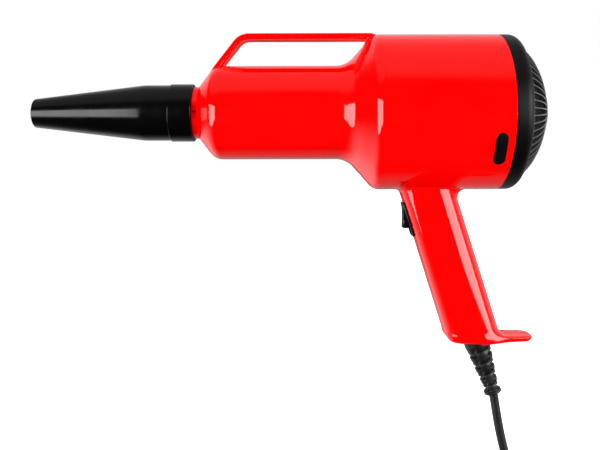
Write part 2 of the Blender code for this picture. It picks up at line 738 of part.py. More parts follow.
def add_impeller(name, rear, eye, depth):
    """A closed wheel: a hub with a back plate, curved blades and a cover plate with an eye."""
    sheet = 1.0 * MM
    front = rear - depth
    hub = 8 * MM
    outline = [(rear - 2 * MM, BORE_R), (rear - 2 * MM, hub), (front + sheet, hub),
               (front + sheet, IMPELLER_R), (front, IMPELLER_R), (front, hub), (front - MM, hub),
               (front - MM, BORE_R)]
    wheel = turned(name, outline, ALUMINIUM, 20)
    cover = tube(f"{name}_cover", IMPELLER_R, eye, rear - sheet, rear, ALUMINIUM, 20, OFF_SEAM)
    blades = []
    for index in range(BLADE_COUNT):
        start = 360 / BLADE_COUNT * index
        outside = []
        inside = []
        for step in range(3):
            share = step / 2
            radius = eye + 0.6 * MM + (IMPELLER_R - 2.1 * MM - eye) * share
            angle = math.radians(start + 55 * share)
            half = math.atan2(0.5 * MM, radius)
            outside.append((radius * math.cos(angle + half), radius * math.sin(angle + half)))
            inside.append((radius * math.cos(angle - half), radius * math.sin(angle - half)))
        blades.append(plate(f"{name}_blade_{index}", [outside + inside[::-1]],
                            front + sheet / 2, rear - sheet / 2, ALUMINIUM, FACING_X))
    return join(wheel, *blades, cover)


def add_fan():
    add_shroud()
    add_impeller("impeller_1", -83.5 * MM, 18.8 * MM, 11.7 * MM)
    tube("impeller_spacer", 6.5 * MM, BORE_R, -109.2 * MM, -96.5 * MM, STEEL, 12)
    add_impeller("impeller_2", -107.5 * MM, 15 * MM, 11.7 * MM)

    rim = circle(SHROUD_R - SHEET - 0.8 * MM, 24)
    disc = plate("diffuser_plate", [rim, circle(7.6 * MM, 12)], -99.4 * MM, -98 * MM, ALUMINIUM, FACING_X)
    vanes = []
    for index in range(6):
        turn = Matrix.Rotation(math.radians(60 * index), 4, "X") @ Matrix.Translation((0, 0, 30 * MM))
        lean = Matrix.Rotation(math.radians(-35), 4, "X")
        vanes.append(block(f"guide_vane_{index}", (-105 * MM, -0.6 * MM, -16 * MM),
                           (-98.7 * MM, 0.6 * MM, 16 * MM), ALUMINIUM, turn @ lean))
    join(disc, *vanes)

    tube("fan_washer", 7 * MM, 3.35 * MM, -85.2 * MM, -84.2 * MM, STEEL, 12)
    plate("fan_nut", [circle(5.8 * MM, 6), circle(3.35 * MM, 10)], -83.9 * MM, -80.2 * MM, STEEL, FACING_X)


# ---------------------------------------------------------------- motor

def add_rotor():
    """Shaft, laminated core, windings and commutator."""
    step = -85.4 * MM
    turned("motor_shaft", [
        (-79 * MM, 0.0), (-79 * MM, 2.6 * MM), (-79.4 * MM, 3 * MM), (step, 3 * MM), (step, SHAFT_R),
        (-211.6 * MM, SHAFT_R), (-212 * MM, 3.6 * MM), (-212 * MM, 0.0)], STEEL, 16)

    rim = []
    winding = []
    pitch = 360 / ARMATURE_SLOTS
    for index in range(ARMATURE_SLOTS):
        middle = pitch * index
        rim += arc(ARMATURE_R, middle + 6, middle + pitch - 6, 1)
        rim += arc(9.2 * MM, middle + pitch - 9, middle + pitch + 9, 1)
        bars = arc(14.8 * MM, middle - 4.6, middle + 4.6, 1)
        feet = arc(9.6 * MM, middle + 6.4, middle - 6.4, 1)
        winding.append(bars + feet)
    plate("armature_core", [rim, circle(BORE_R, 16)], -180 * MM, -146 * MM, LAMINATION, FACING_X)

    ends = []
    for low, high in ((-185.5 * MM, -180.3 * MM), (-145.7 * MM, -140.5 * MM)):
        outline = [(low, 5 * MM), (high, 5 * MM), (high, 13.2 * MM), ((low + high) / 2, 15 * MM),
                   (low, 13.2 * MM)]
        ends.append(turned(f"winding_end_{len(ends)}", outline, COPPER, 16))
    bars = [plate(f"winding_bar_{index}", [bar], -182 * MM, -144 * MM, COPPER, FACING_X)
            for index, bar in enumerate(winding)]
    ends[0].name = "armature_winding"
    join(ends[0], *bars, ends[1])

    copper = []
    for index in range(ARMATURE_SLOTS):
        middle = pitch * index
        copper += arc(10 * MM, middle - 12.5, middle + 12.5, 1)
        copper += arc(9.3 * MM, middle + 13.5, middle + 16.5, 1)
    plate("commutator", [copper, circle(BORE_R, 16)], -200 * MM, -187.5 * MM, COPPER, FACING_X)


def add_stator():
    bolt_holes = [circle(BOLT_HOLE_R, 10, (0, z)) for z in (POST_Z, -POST_Z)]
    core = plate("stator_core", [circle(STATOR_R, 28), *bolt_holes], STATOR_FRONT_X, STATOR_REAR_X,
                 LAMINATION, FACING_X)
    low = STATOR_FRONT_X - MM
    high = STATOR_REAR_X + MM
    bore = tube("stator_bore", 16.4 * MM, 0.0, low, high, LAMINATION, 20, OFF_SEAM)
    windows = [plate(f"coil_window_{middle}", [sector(15 * MM, 24.5 * MM, middle, 52, 4)], low, high,
                     LAMINATION, FACING_X) for middle in (90, 270)]
    cut(core, bore, *windows)

    for name, side in (("field_coil_left", -1), ("field_coil_right", 1)):
        loop = []
        radius = 20.6 * MM
        for x, angles in ((STATOR_REAR_X + 4 * MM, (52, 26, 0, -26, -52)),
                          (STATOR_FRONT_X - 4 * MM, (-52, -26, 0, 26, 52))):
            for angle in angles:
                rise = math.radians(angle)
                loop.append((x, side * radius * math.cos(rise), radius * math.sin(rise)))
        wire(name, loop, 2.9 * MM, COPPER, closed=True)


def add_brackets():
    """Bearing brackets with their posts, the two through bolts, the bearings and the rubber ring."""
    post_r = 4.2 * MM
    pocket_r = 11.3 * MM
    posts = (POST_Z, -POST_Z)

    windows = [sector(17 * MM, 46 * MM, 60 * index, 18, 2) for index in range(6)]
    rim = circle(SHROUD_R - SHEET - 0.8 * MM, 24)
    rear = plate("rear_bracket", [rim, circle(12.6 * MM, 12), *windows], -126.5 * MM, -123 * MM,
                 ALUMINIUM, FACING_X)
    outline = [(-122.5 * MM, 5.6 * MM), (-122.5 * MM, 14 * MM), (-133 * MM, 14 * MM), (-133 * MM, pocket_r),
               (-125.2 * MM, pocket_r), (-125.2 * MM, 5.6 * MM)]
    join(rear, turned("rear_hub", outline, ALUMINIUM, 16, OFF_SEAM))
    for index, z in enumerate(posts):
        place = along((1, 0, 0), (0, 0, z)) @ Matrix.Rotation(0.1, 4, "Z")
        outline = [(-124.5 * MM, 0.0), (-124.5 * MM, post_r), (STATOR_REAR_X + GAP, post_r),
                   (STATOR_REAR_X + GAP, BOLT_HOLE_R), (-132 * MM, BOLT_HOLE_R), (-132 * MM, 0.0)]
        join(rear, turned(f"rear_post_{index}", outline, ALUMINIUM, 10, place))

    windows = [sector(16 * MM, 23 * MM, 90 * index, 28, 2) for index in range(4)]
    bolt_holes = [circle(BOLT_HOLE_R, 8, (0.0, z)) for z in posts]
    front = plate("front_bracket", [circle(STATOR_R, 24), circle(12.3 * MM, 12), *bolt_holes, *windows],
                  -209.5 * MM, -206 * MM, ALUMINIUM, FACING_X)
    outline = [(-203.5 * MM, pocket_r), (-203.5 * MM, 13.2 * MM), (-213.4 * MM, 13.2 * MM),
               (-213.4 * MM, 9 * MM), (-222 * MM, 9 * MM), (-222 * MM, 0.0), (-212.4 * MM, 0.0),
               (-212.4 * MM, 5.6 * MM), (-211.4 * MM, 5.6 * MM), (-211.4 * MM, pocket_r)]
    join(front, turned("front_hub", outline, ALUMINIUM, 16, OFF_SEAM))
    for index, z in enumerate(posts):
        place = along((1, 0, 0), (0, 0, z)) @ Matrix.Rotation(0.1, 4, "Z")
        join(front, tube(f"front_post_{index}", post_r, 2.6 * MM, -207 * MM, STATOR_FRONT_X - GAP,
                         ALUMINIUM, 10, place))

    for name, z in (("motor_bolt_upper", POST_Z), ("motor_bolt_lower", -POST_Z)):
        seat = -209.5 * MM - GAP
        outline = [(-133 * MM, 0.0), (-133 * MM, 1.9 * MM), (seat, 1.9 * MM), (seat, 3.6 * MM),
                   (seat - 2.6 * MM, 3.6 * MM), (seat - 2.6 * MM, 0.0)]
        turned(name, outline, STEEL, 10, along((1, 0, 0), (0, 0, z)))

    for name, low in (("rear_bearing", -132.5 * MM), ("front_bearing", -211.1 * MM)):
        high = low + 7 * MM
        dish = 0.6 * MM
        outline = [(low, BORE_R), (low, 6 * MM), (low + dish, 6.4 * MM), (low + dish, 9 * MM),
                   (low, 9.4 * MM), (low, 11 * MM), (high, 11 * MM), (high, BORE_R)]
        turned(name, outline, STEEL, 16)
    tube("motor_mount_ring", 13.1 * MM, 9.35 * MM, -221 * MM, -214 * MM, DARK_RUBBER, 16)


def add_brushes():
    """Holders, carbon brushes and their springs, on both sides of the commutator."""
    for word, side in (("left", -1), ("right", 1)):
        turn = frame((BRUSH_X, 0, 0), (0, 0, 1), (0, side, 0))      # u up, v outwards from the shaft
        facing = turn @ frame((0, 0, 0), (1, 0, 0), (0, 0, -1))         # thickness along v
        channel = [rectangle(4.6 * MM, 4.8 * MM), rectangle(3.4 * MM, 3.0 * MM)]
        holder = plate(f"brush_holder_{word}", channel, 11.5 * MM, 28 * MM, BRASS, facing)
        foot_low, foot_high = sorted((side * 11.7 * MM, -side * 4.5 * MM))
        join(holder, block(f"brush_foot_{word}", (-4.3 * MM, 27.6 * MM, foot_low),
                           (4.3 * MM, 29.2 * MM, foot_high), BRASS, turn))
        block(f"carbon_brush_{word}", (-3.1 * MM, 10.4 * MM, -2.7 * MM),
              (3.1 * MM, 21 * MM, 2.7 * MM), CARBON, turn)
        coil = []
        per_turn = 6
        steps = 21
        for step in range(steps + 1):
            angle = 2 * math.pi * step / per_turn
            rise = 21.7 * MM + 5.2 * MM * step / steps
            coil.append(turn @ Vector((1.9 * MM * math.cos(angle), rise, 1.9 * MM * math.sin(angle))))
        wire(f"brush_spring_{word}", coil, 0.35 * MM, STEEL, sides=1)


# ---------------------------------------------------------------- switch

def add_switch():
    place = switch_frame()
    half = SWITCH_HALF_LENGTH
    face = 1.8 * MM
    bezel = rounded([(-half, -7.6 * MM, 3 * MM), (half, -7.6 * MM, 3 * MM),
                     (half, 7.6 * MM, 3 * MM), (-half, 7.6 * MM, 3 * MM)], closed=True)
    lying = place @ frame((0, 0, 0), (1, 0, 0), (0, 0, 1))      # outlines in (u, w), thickness along -v
    housing = plate("switch_housing", [bezel], -face, -GAP, BLACK, lying)
    join(housing, block("switch_body", (-SWITCH_BODY, -18 * MM, -6.4 * MM), (SWITCH_BODY, 0.9 * MM, 6.4 * MM),
                        BLACK, place))
    cut(housing, block("switch_well", (-11.9 * MM, -15.5 * MM, -5.3 * MM), (11.9 * MM, 5 * MM, 5.3 * MM),
                       BLACK, place),
        tube("pivot_hole", 1.3 * MM, 0.0, -5.9 * MM, 5.9 * MM, BLACK, 12,
             place @ Matrix.Translation((0, -PIVOT_DEPTH, 0))))

    pivot = place @ Matrix.Translation((0, -PIVOT_DEPTH, 0))
    tilted = pivot @ Matrix.Rotation(ROCKER_TILT, 4, "Z")
    outline = rounded([(-8.8 * MM, 10.5 * MM, 0.8 * MM), (8.8 * MM, 10.5 * MM, 0.8 * MM), (8.8 * MM, 4 * MM),
                       (5 * MM, -3 * MM), (-5 * MM, -3 * MM), (-8.8 * MM, 4 * MM)], closed=True)
    rocker = plate("switch_rocker", [outline[::-1], circle(1.3 * MM, 12)], -5 * MM, 5 * MM, BLACK, tilted)
    move_origin(rocker, pivot.to_translation())
    tube("switch_pivot_pin", 1.0 * MM, 0.0, -5.6 * MM, 5.6 * MM, STEEL, 12, pivot)
    for name, u in (("switch_terminal_1", -6 * MM), ("switch_terminal_2", 6 * MM)):
        block(name, (u - 0.4 * MM, -26 * MM, -2.5 * MM), (u + 0.4 * MM, -18.3 * MM, 2.5 * MM), BRASS, place)


# ---------------------------------------------------------------- cord and wiring

def add_cord():
    place = boot_frame()
    ribs = [(-15.6 * MM, CORD_R + GAP), (-15.6 * MM, 13 * MM), (-12.6 * MM, 13 * MM), (-12.6 * MM, 10.3 * MM),
            (0.0, 10.3 * MM)]
    count = 4
    pitch = 9.4 * MM
    for index in range(count):
        start = pitch * index
        radius = 10.3 * MM - 1.15 * MM * index
        ribs += [(start + 6.6 * MM, radius - 0.7 * MM), (start + 6.6 * MM, radius - 2.6 * MM),
                 (start + pitch, radius - 2.9 * MM), (start + pitch, radius - 1.15 * MM)]
    ribs += [(count * pitch + 3.6 * MM, 5.8 * MM), (count * pitch + 4.6 * MM, CORD_R + 1 * MM),
             (count * pitch + 4.6 * MM, CORD_R + GAP)]
    turned("cord_boot", ribs, DARK_RUBBER, 16, place)

    top = place @ Vector((0, 0, -39 * MM))
    inlet = place @ Vector((0, 0, -16 * MM))
    outlet = place @ Vector((0, 0, count * pitch + 4 * MM))
    tail = Vector((-27.0 * MM, 0, CORD_END_Z))
    sag = (outlet + tail) / 2 + Vector((-1.0 * MM, 0, 0))
    line = [top, inlet, outlet, *smooth_path([outlet, sag, tail], 3)[1:]]
    wire("power_cord", line, CORD_R, DARK_RUBBER)

    low = (-56.7 * MM, -11 * MM, -156.5 * MM)
    clamp = block("cord_clamp", low, (-52.5 * MM, 11 * MM, -149.5 * MM), BLACK)
    for side in (-1, 1):
        at = along((1, 0, 0), (0, side * 8 * MM, -153 * MM))
        cut(clamp, tube(f"clamp_hole_{side}", 1.5 * MM, 0.0, -58 * MM, -50 * MM, BLACK, 12, at))
        head = -52.5 * MM + GAP
        outline = [(-63 * MM, 0.0), (-62 * MM, 1.0 * MM), (head, 1.0 * MM), (head, 2.4 * MM),
                   (head + 1.6 * MM, 2.0 * MM), (head + 1.8 * MM, 0.0)]
        turned(f"clamp_screw_{'2' if side > 0 else '1'}", outline, STEEL, 10, at)


def add_wiring():
    """Cord to switch, switch to motor, and cord to motor."""
    radius = 1.1 * MM
    start = boot_frame() @ Vector((0, 0, -40 * MM))
    switch = switch_frame()
    lower = switch @ Vector((6 * MM, -27.4 * MM, 0))
    upper = switch @ Vector((-6 * MM, -27.4 * MM, 0))
    live = smooth_path([start + Vector((0, -1.7 * MM, MM)), Vector((-68, -2.5, -125)) * MM,
                        Vector((-70, -1.5, -100)) * MM, lower])
    wire("live_wire", live, radius, BROWN_WIRE)
    to_left = smooth_path([upper, Vector((-84, -2, -62)) * MM, Vector((-98, -3, -56.2)) * MM,
                           Vector((-130, -3, -55)) * MM, Vector((-140, -4, -43)) * MM,
                           Vector((-150, -6, -32.6)) * MM, Vector((-160, -6, -32.3)) * MM,
                           Vector((-184, -6, -32.3)) * MM, Vector((-192, -17, -27)) * MM,
                           Vector((-194, -27, -7.5)) * MM])
    wire("switched_wire", to_left, radius, BROWN_WIRE)
    to_right = smooth_path([start + Vector((0, 1.7 * MM, MM)), Vector((-67, 4, -122)) * MM,
                            Vector((-72.5, 5, -85)) * MM, Vector((-82, 5, -62)) * MM,
                            Vector((-98, 5, -56)) * MM, Vector((-130, 4, -55)) * MM,
                            Vector((-140, 4, -43)) * MM, Vector((-150, 6, -32.6)) * MM,
                            Vector((-160, 6, -32.3)) * MM, Vector((-184, 6, -32.3)) * MM,
                            Vector((-192, 17, -27)) * MM, Vector((-194, 27, -7.5)) * MM])
    wire("neutral_wire", to_right, radius, BLUE_WIRE)


add_housing()
add_housing_screws()
add_nozzle()
add_cover_ring()
add_grille()
add_filter()
add_latch_buttons()
add_fan()
add_rotor()
add_stator()
add_brackets()
add_brushes()
add_switch()
add_cord()
add_wiring()
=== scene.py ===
"""The finished look of the car dryer blower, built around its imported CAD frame.

Lengths are millimetres inside this script and metres in Blender. +Z is up, the nozzle points along
-X, the origin is the centre of the intake's hub disc, and the shells part on the plane Y = 0.
"""

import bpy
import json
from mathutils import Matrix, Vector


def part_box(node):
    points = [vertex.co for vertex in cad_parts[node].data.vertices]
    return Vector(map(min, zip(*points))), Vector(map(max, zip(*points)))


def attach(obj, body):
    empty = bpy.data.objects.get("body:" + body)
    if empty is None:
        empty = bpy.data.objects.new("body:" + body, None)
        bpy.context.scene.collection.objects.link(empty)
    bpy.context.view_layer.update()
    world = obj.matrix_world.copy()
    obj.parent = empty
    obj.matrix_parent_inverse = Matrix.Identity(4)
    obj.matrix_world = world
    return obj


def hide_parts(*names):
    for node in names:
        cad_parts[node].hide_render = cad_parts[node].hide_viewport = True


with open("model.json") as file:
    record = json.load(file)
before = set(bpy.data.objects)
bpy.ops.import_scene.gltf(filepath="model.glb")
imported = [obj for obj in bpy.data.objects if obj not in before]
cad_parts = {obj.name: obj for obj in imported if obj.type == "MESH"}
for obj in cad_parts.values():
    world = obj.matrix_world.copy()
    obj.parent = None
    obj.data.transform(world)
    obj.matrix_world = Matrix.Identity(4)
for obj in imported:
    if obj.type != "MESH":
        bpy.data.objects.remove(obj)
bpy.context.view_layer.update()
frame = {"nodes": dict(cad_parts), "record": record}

import json
import math

import bmesh
import bpy
import numpy as np
from mathutils import Matrix, Vector

MM = 0.001


def span(node, axis):
    """Lowest and highest coordinate of a CAD node along an axis (0, 1, 2), in millimetres."""
    low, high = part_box(node)
    return low[axis] / MM, high[axis] / MM


# Housing, along the motor axis
REAR_X = -38.0
SPIGOT_X = span("housing_left", 0)[0]
DRUM_R = span("cover_ring", 2)[1]
DRUM_FRONT_X = -135.2
REAR_SLOPE = 1.162              # rise of the rear cone
BARREL_R = 37.2
BARREL_FRONT_X = -260.2
FRONT_SLOPE = 1.28              # rise of the front cone and of the carry handle's leg
NECK_REAR_X = -273.3
NECK_STEP_X = -277.1
NECK_R = 20.6
SPIGOT_R = 19.7
DUCT_R = 17.2
WALL = 2.5
PART_GAP = 0.15                 # from each shell to the parting plane
GAP = 0.3                       # between pieces that fit into each other
DRUM_CORNER_R = 10
BARREL_CORNER_R = 11
CONE_FILLET_R = 6.0

# Grip and heel plate
GRIP_TILT = math.radians(17.2)
GRIP_FRONT_X = -113.5           # front of the grip at the height of the drum's underside
GRIP_LENGTH_X = 43.2
GRIP_HALF_WIDTH = 18.0
GRIP_BACK_R = 16.0
GRIP_FRONT_R = 10.0
BASE_Z = span("housing_left", 2)[0]
HEEL_TIP_X = -9.4
HEEL_TOP_Z = BASE_Z + 4.8
FLOOR_TOP_Z = BASE_Z + 3.0

# Carry handle
HANDLE_TOP = DRUM_R + 0.6
HANDLE_BAR = 4.7
HANDLE_LEG = 5.0
HANDLE_HALF_WIDTH = 9.6
HANDLE_FOOT_Z = 12.0
HANDLE_REAR_X = -124
WEB_EDGE = [(-300, 100), (-119.2, 100), (-147.1, 43.3), (-173.1, 28), (-300, 28)]

# Screws of the shells: (x, z), and the holes for their shanks, heads and tips
SCREW_HOLE_R = 1.75
SCREW_HEAD_HOLE_R = 3.6
SCREW_PILOT_R = 1.3
SCREW_SEAT_Y = 6.0
SCREWS = [((a[0] + b[0]) / 2 / MM, (a[2] + b[2]) / 2 / MM)
          for a, b in (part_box(f"housing_screw_{index}") for index in range(1, 7))]


# ---------------------------------------------------------------- distance functions (millimetres)

def convex(u, v, corners, radius):
    """Signed distance to a convex outline with rounded corners, negative inside."""
    corners = np.array(corners, float)
    area = np.cross(corners, np.roll(corners, -1, 0)).sum()
    if area < 0:
        corners = corners[::-1]
    along = np.roll(corners, -1, 0) - corners
    along /= np.linalg.norm(along, axis=1)[:, None]
    inward = np.stack((-along[:, 1], along[:, 0]), 1)
    before, after = np.roll(inward, 1, 0), inward
    corners = corners + radius * (before + after) / (1 + (before * after).sum(1))[:, None]
    nearest = np.full(np.shape(u), 1e9)
    inside = np.full(np.shape(u), -1e9)
    for a, b in zip(corners, np.roll(corners, -1, 0)):
        edge = b - a
        length = np.hypot(*edge)
        edge = edge / length
        pu, pv = u - a[0], v - a[1]
        t = np.clip(pu * edge[0] + pv * edge[1], 0, length)
        nearest = np.minimum(nearest, np.hypot(pu - t * edge[0], pv - t * edge[1]))
        inside = np.maximum(inside, pu * edge[1] - pv * edge[0])
    return np.where(inside > 0, nearest, inside) - radius


def weld(a, b, radius):
    """Union of two distances with a concave fillet."""
    return np.maximum(radius, np.minimum(a, b)) - np.hypot(np.maximum(radius - a, 0),
                                                           np.maximum(radius - b, 0))


def meet(a, b, radius):
    """Intersection of two distances with a rounded edge."""
    return -weld(-a, -b, radius)


def ease(value, low, high):
    """0 below low, 1 above high, and smooth between."""
    t = np.clip((value - low) / (high - low), 0, 1)
    return t * t * (3 - 2 * t)


def barrel_distance(x, y, z):
    """Drum, rear cone, barrel and front cone, all round the motor axis."""
    r = np.hypot(y, z)
    deep = -90.0
    drum = convex(x, r, [(REAR_X + 10, deep), (REAR_X + 10, DRUM_R), (DRUM_FRONT_X, DRUM_R),
                         (DRUM_FRONT_X - (DRUM_R - deep) / REAR_SLOPE, deep)], DRUM_CORNER_R)
    barrel = convex(x, r, [(-100, deep), (-100, BARREL_R), (BARREL_FRONT_X, BARREL_R),
                           (BARREL_FRONT_X - (BARREL_R - deep) / FRONT_SLOPE, deep)], BARREL_CORNER_R)
    return weld(drum, barrel, CONE_FILLET_R)


def grip_distance(x, y, z):
    """Leaning grip with a nearly round back, open at its ends."""
    lean = math.cos(GRIP_TILT)
    front = GRIP_FRONT_X - math.tan(GRIP_TILT) * (DRUM_R + z)
    half = GRIP_LENGTH_X / 2
    u = (x - front - half) * lean
    corner = np.where(u > 0, GRIP_BACK_R, GRIP_FRONT_R)
    du = np.abs(u) - half * lean + corner
    dv = np.abs(y) - GRIP_HALF_WIDTH + corner
    flat = np.minimum(np.maximum(du, dv), 0)
    return flat + np.hypot(np.maximum(du, 0), np.maximum(dv, 0)) - corner


def handle_distance(x, y, z):
    """Carry bar, its leg along the front cone's line, and the web in front of the drum."""
    foot_x = BARREL_FRONT_X - BARREL_R / FRONT_SLOPE
    top = HANDLE_TOP
    low = HANDLE_FOOT_Z
    outer = convex(x, z, [(foot_x + low / FRONT_SLOPE, low), (foot_x + top / FRONT_SLOPE, top),
                          (HANDLE_REAR_X, top), (HANDLE_REAR_X, low)], 15)
    under = top - HANDLE_BAR
    leg = foot_x + HANDLE_LEG * math.hypot(1, FRONT_SLOPE) / FRONT_SLOPE
    opening = convex(x, z, [(leg + low / FRONT_SLOPE, low), (leg + under / FRONT_SLOPE, under),
                            (-100, under), (-100, low)], 10)
    side = np.abs(y) - HANDLE_HALF_WIDTH
    arch = meet(side, -opening, 3.4)
    web = meet(side, -convex(x, z, WEB_EDGE, 3), 0.6)
    return meet(np.minimum(arch, web), outer, 1.0)


def body_distance(x, y, z):
    """The whole outside of both shells."""
    core = barrel_distance(x, y, z)
    front = GRIP_FRONT_X - math.tan(GRIP_TILT) * (DRUM_R + z)
    share = ease(x - front, 0, GRIP_LENGTH_X)
    ends = 1 - ease(np.abs(y), 7, 15)
    heel_plan = convex(x, y, [(-75, -16), (HEEL_TIP_X, -10.6), (HEEL_TIP_X, 10.6), (-75, 16)], 8)
    heel = meet(heel_plan, z - HEEL_TOP_Z, 1.5)
    foot = weld(grip_distance(x, y, z), heel, 6.5)
    foot = meet(foot, BASE_Z - z, 7.0 - 5.0 * ease(x, -70, -44) + 1.5 * ease(x, -36, -14))
    foot = np.maximum(foot, z + 30)
    core = weld(core, foot, 1.6 + (2.4 + 4.8 * share) * ends)
    return weld(core, handle_distance(x, y, z), 0.8)


def cavity_distance(x, y, z):
    """The hollow inside the shells, with nothing moulded into it."""
    core = barrel_distance(x, y, z) + WALL
    grip = meet(grip_distance(x, y, z) + WALL, FLOOR_TOP_Z - z, 2)
    return weld(core, np.maximum(grip, z + 30), 4)


def slope(points, distance):
    """Distance and gradient at points, an array of (x, y, z) rows."""
    step = 0.02
    here = distance(*points.T)
    gradient = np.empty_like(points)
    for axis in range(3):
        moved = points.copy()
        moved[:, axis] += step
        gradient[:, axis] = (distance(*moved.T) - here) / step
    return here, gradient


# ---------------------------------------------------------------- mesh making

def surface(distance, low, high, step):
    """Closed quad mesh of a distance function's zero surface, inside a box (surface nets)."""
    axes = [np.arange(a, b + step, step) for a, b in zip(low, high)]
    field = np.empty([len(axis) for axis in axes])
    for index, x in enumerate(axes[0]):
        y, z = np.meshgrid(axes[1], axes[2], indexing="ij")
        field[index] = distance(np.full_like(y, x), y, z)
    for axis in range(3):
        for end in (0, -1):
            face = [slice(None)] * 3
            face[axis] = end
            field[tuple(face)] = np.maximum(field[tuple(face)], 0.3 * step)
    cells = tuple(size - 1 for size in field.shape)
    size = cells[0] * cells[1] * cells[2]
    total = np.zeros((3, size))
    count = np.zeros(size)
    quads = []
    origin = np.array([axis[0] for axis in axes])
    for axis in range(3):
        lower = [slice(None)] * 3
        upper = [slice(None)] * 3
        lower[axis] = slice(0, -1)
        upper[axis] = slice(1, None)
        a, b = field[tuple(lower)], field[tuple(upper)]
        at = np.stack(np.nonzero((a < 0) != (b < 0)), 1)
        a, b = a[tuple(at.T)], b[tuple(at.T)]
        point = origin + step * at
        point[:, axis] += step * a / (a - b)
        ring = []
        for du, dv in ((0, 0), (1, 0), (1, 1), (0, 1)):
            cell = at.copy()
            cell[:, (axis + 1) % 3] -= du
            cell[:, (axis + 2) % 3] -= dv
            cell = np.ravel_multi_index(cell.T, cells)
            ring.append(cell)
            count += np.bincount(cell, minlength=size)
            for k in range(3):
                total[k] += np.bincount(cell, point[:, k], size)
        ring = np.stack(ring, 1)
        ring[a < 0] = ring[a < 0][:, ::-1]
        quads.append(ring)
    used = np.nonzero(count)[0]
    points = (total[:, used] / count[used]).T
    place = np.full(size, -1)
    place[used] = np.arange(len(used))
    quads = place[np.concatenate(quads)][:, ::-1]
    pairs = np.concatenate([quads[:, [k, (k + 1) % 4]] for k in range(4)])
    degree = np.bincount(pairs[:, 0], minlength=len(points))[:, None]
    for relax in (0.6, 0.6, 0.6, 0.6, 0.6, 0.0):
        mean = np.stack([np.bincount(pairs[:, 0], points[pairs[:, 1], k], len(points))
                         for k in range(3)], 1) / degree
        here, gradient = slope(points, distance)
        near = (np.abs(here) < 2 * step)[:, None]
        length = np.maximum((gradient ** 2).sum(1), 0.2)[:, None]
        push = mean - points
        push -= gradient * (push * gradient).sum(1)[:, None] / length
        moved = points + relax * push - gradient * here[:, None] / length
        points = np.where(near, moved, points)
    return made_mesh("surface", points, quads.tolist())


def made_mesh(name, points, faces, closed=False):
    """Mesh in metres from points in millimetres."""
    mesh = bpy.data.meshes.new(name)
    mesh.from_pydata((np.asarray(points, float) * MM).tolist(), [], faces)
    mesh.update()
    if closed:
        tidy = bmesh.new()
        tidy.from_mesh(mesh)
        bmesh.ops.remove_doubles(tidy, verts=tidy.verts, dist=1e-7)
        bmesh.ops.dissolve_degenerate(tidy, dist=1e-8, edges=tidy.edges)
        bmesh.ops.recalc_face_normals(tidy, faces=tidy.faces)
        tidy.to_mesh(mesh)
        tidy.free()
    return mesh


def ring_faces(rings, around, looped):
    """Faces round a stack of rings of points, which is looped or else capped at its ends."""
    faces = []
    for ring in range(rings if looped else rings - 1):
        after = (ring + 1) % rings
        for k in range(around):
            ahead = (k + 1) % around
            faces.append((ring * around + k, ring * around + ahead, after * around + ahead,
                          after * around + k))
    if not looped:
        last = (rings - 1) * around
        faces += [tuple(range(around))[::-1], tuple(range(last, last + around))]
    return faces


def softened(mesh, radius, segments, angle, clamp=True, outside=0.0):
    """Rounds the edges sharper than an angle that lie beyond a distance from the motor axis."""
    soft = bmesh.new()
    soft.from_mesh(mesh)
    rims = [edge for edge in soft.edges if len(edge.link_faces) == 2
            and edge.calc_face_angle() > math.radians(angle)
            and edge.verts[0].co.yz.length >= outside * MM]
    bmesh.ops.bevel(soft, geom=rims, offset=radius * MM, segments=segments, profile=0.5,
                    affect="EDGES", clamp_overlap=clamp)
    soft.to_mesh(mesh)
    soft.free()


def placed(origin, u, v):
    """Placement whose first two axes run along u and v, with its origin in millimetres."""
    u = Vector(u).normalized()
    v = Vector(v).normalized()
    turn = Matrix((u, v, u.cross(v))).transposed().to_4x4()
    return Matrix.Translation(Vector(origin) * MM) @ turn


def along(axis, origin=(0, 0, 0)):
    """Placement whose Z axis runs along the given axis."""
    turn = Vector((0, 0, 1)).rotation_difference(Vector(axis)).to_matrix().to_4x4()
    return Matrix.Translation(Vector(origin) * MM) @ turn


AXIS_X = along((1, 0, 0))


def rounded(corners, closed=True, step=12.0):
    """Outline of (u, v) or (u, v, fillet radius) corners, with the fillets as arcs."""
    points = []
    last = len(corners) - 1
    for index, corner in enumerate(corners):
        here = Vector(corner[:2])
        radius = corner[2] if len(corner) > 2 else 0.0
        if radius == 0.0 or (not closed and index in (0, last)):
            points.append(tuple(here))
            continue
        back = (Vector(corners[index - 1][:2]) - here).normalized()
        ahead = (Vector(corners[0 if index == last else index + 1][:2]) - here).normalized()
        half = back.angle(ahead) / 2
        centre = here + (back + ahead).normalized() * radius / math.sin(half)
        start = here + back * radius / math.tan(half) - centre
        sweep = math.pi - 2 * half
        steps = max(3, math.ceil(math.degrees(sweep) / step))
        if back.cross(ahead) > 0:
            sweep = -sweep
        points += [tuple(centre + Matrix.Rotation(sweep * k / steps, 2) @ start)
                   for k in range(steps + 1)]
    return points


def circle(radius, steps, centre=(0.0, 0.0)):
    """Points around a full circle."""
    angles = [2 * math.pi * k / steps for k in range(steps)]
    return [(centre[0] + radius * math.cos(a), centre[1] + radius * math.sin(a)) for a in angles]


def curved(corners, steps=6):
    """Points of a soft line through corners (a Catmull-Rom spline)."""
    line = [Vector(corner) for corner in corners]
    line = [2 * line[0] - line[1], *line, 2 * line[-1] - line[-2]]
    points = []
    for a, b, c, d in zip(line, line[1:], line[2:], line[3:]):
        for step in range(steps):
            t = step / steps
            pull = (2 * a - 5 * b + 4 * c - d) * t * t + (3 * b - a - 3 * c + d) * t ** 3
            points.append(tuple((2 * b + (c - a) * t + pull) / 2))
    return points + [tuple(line[-2])]


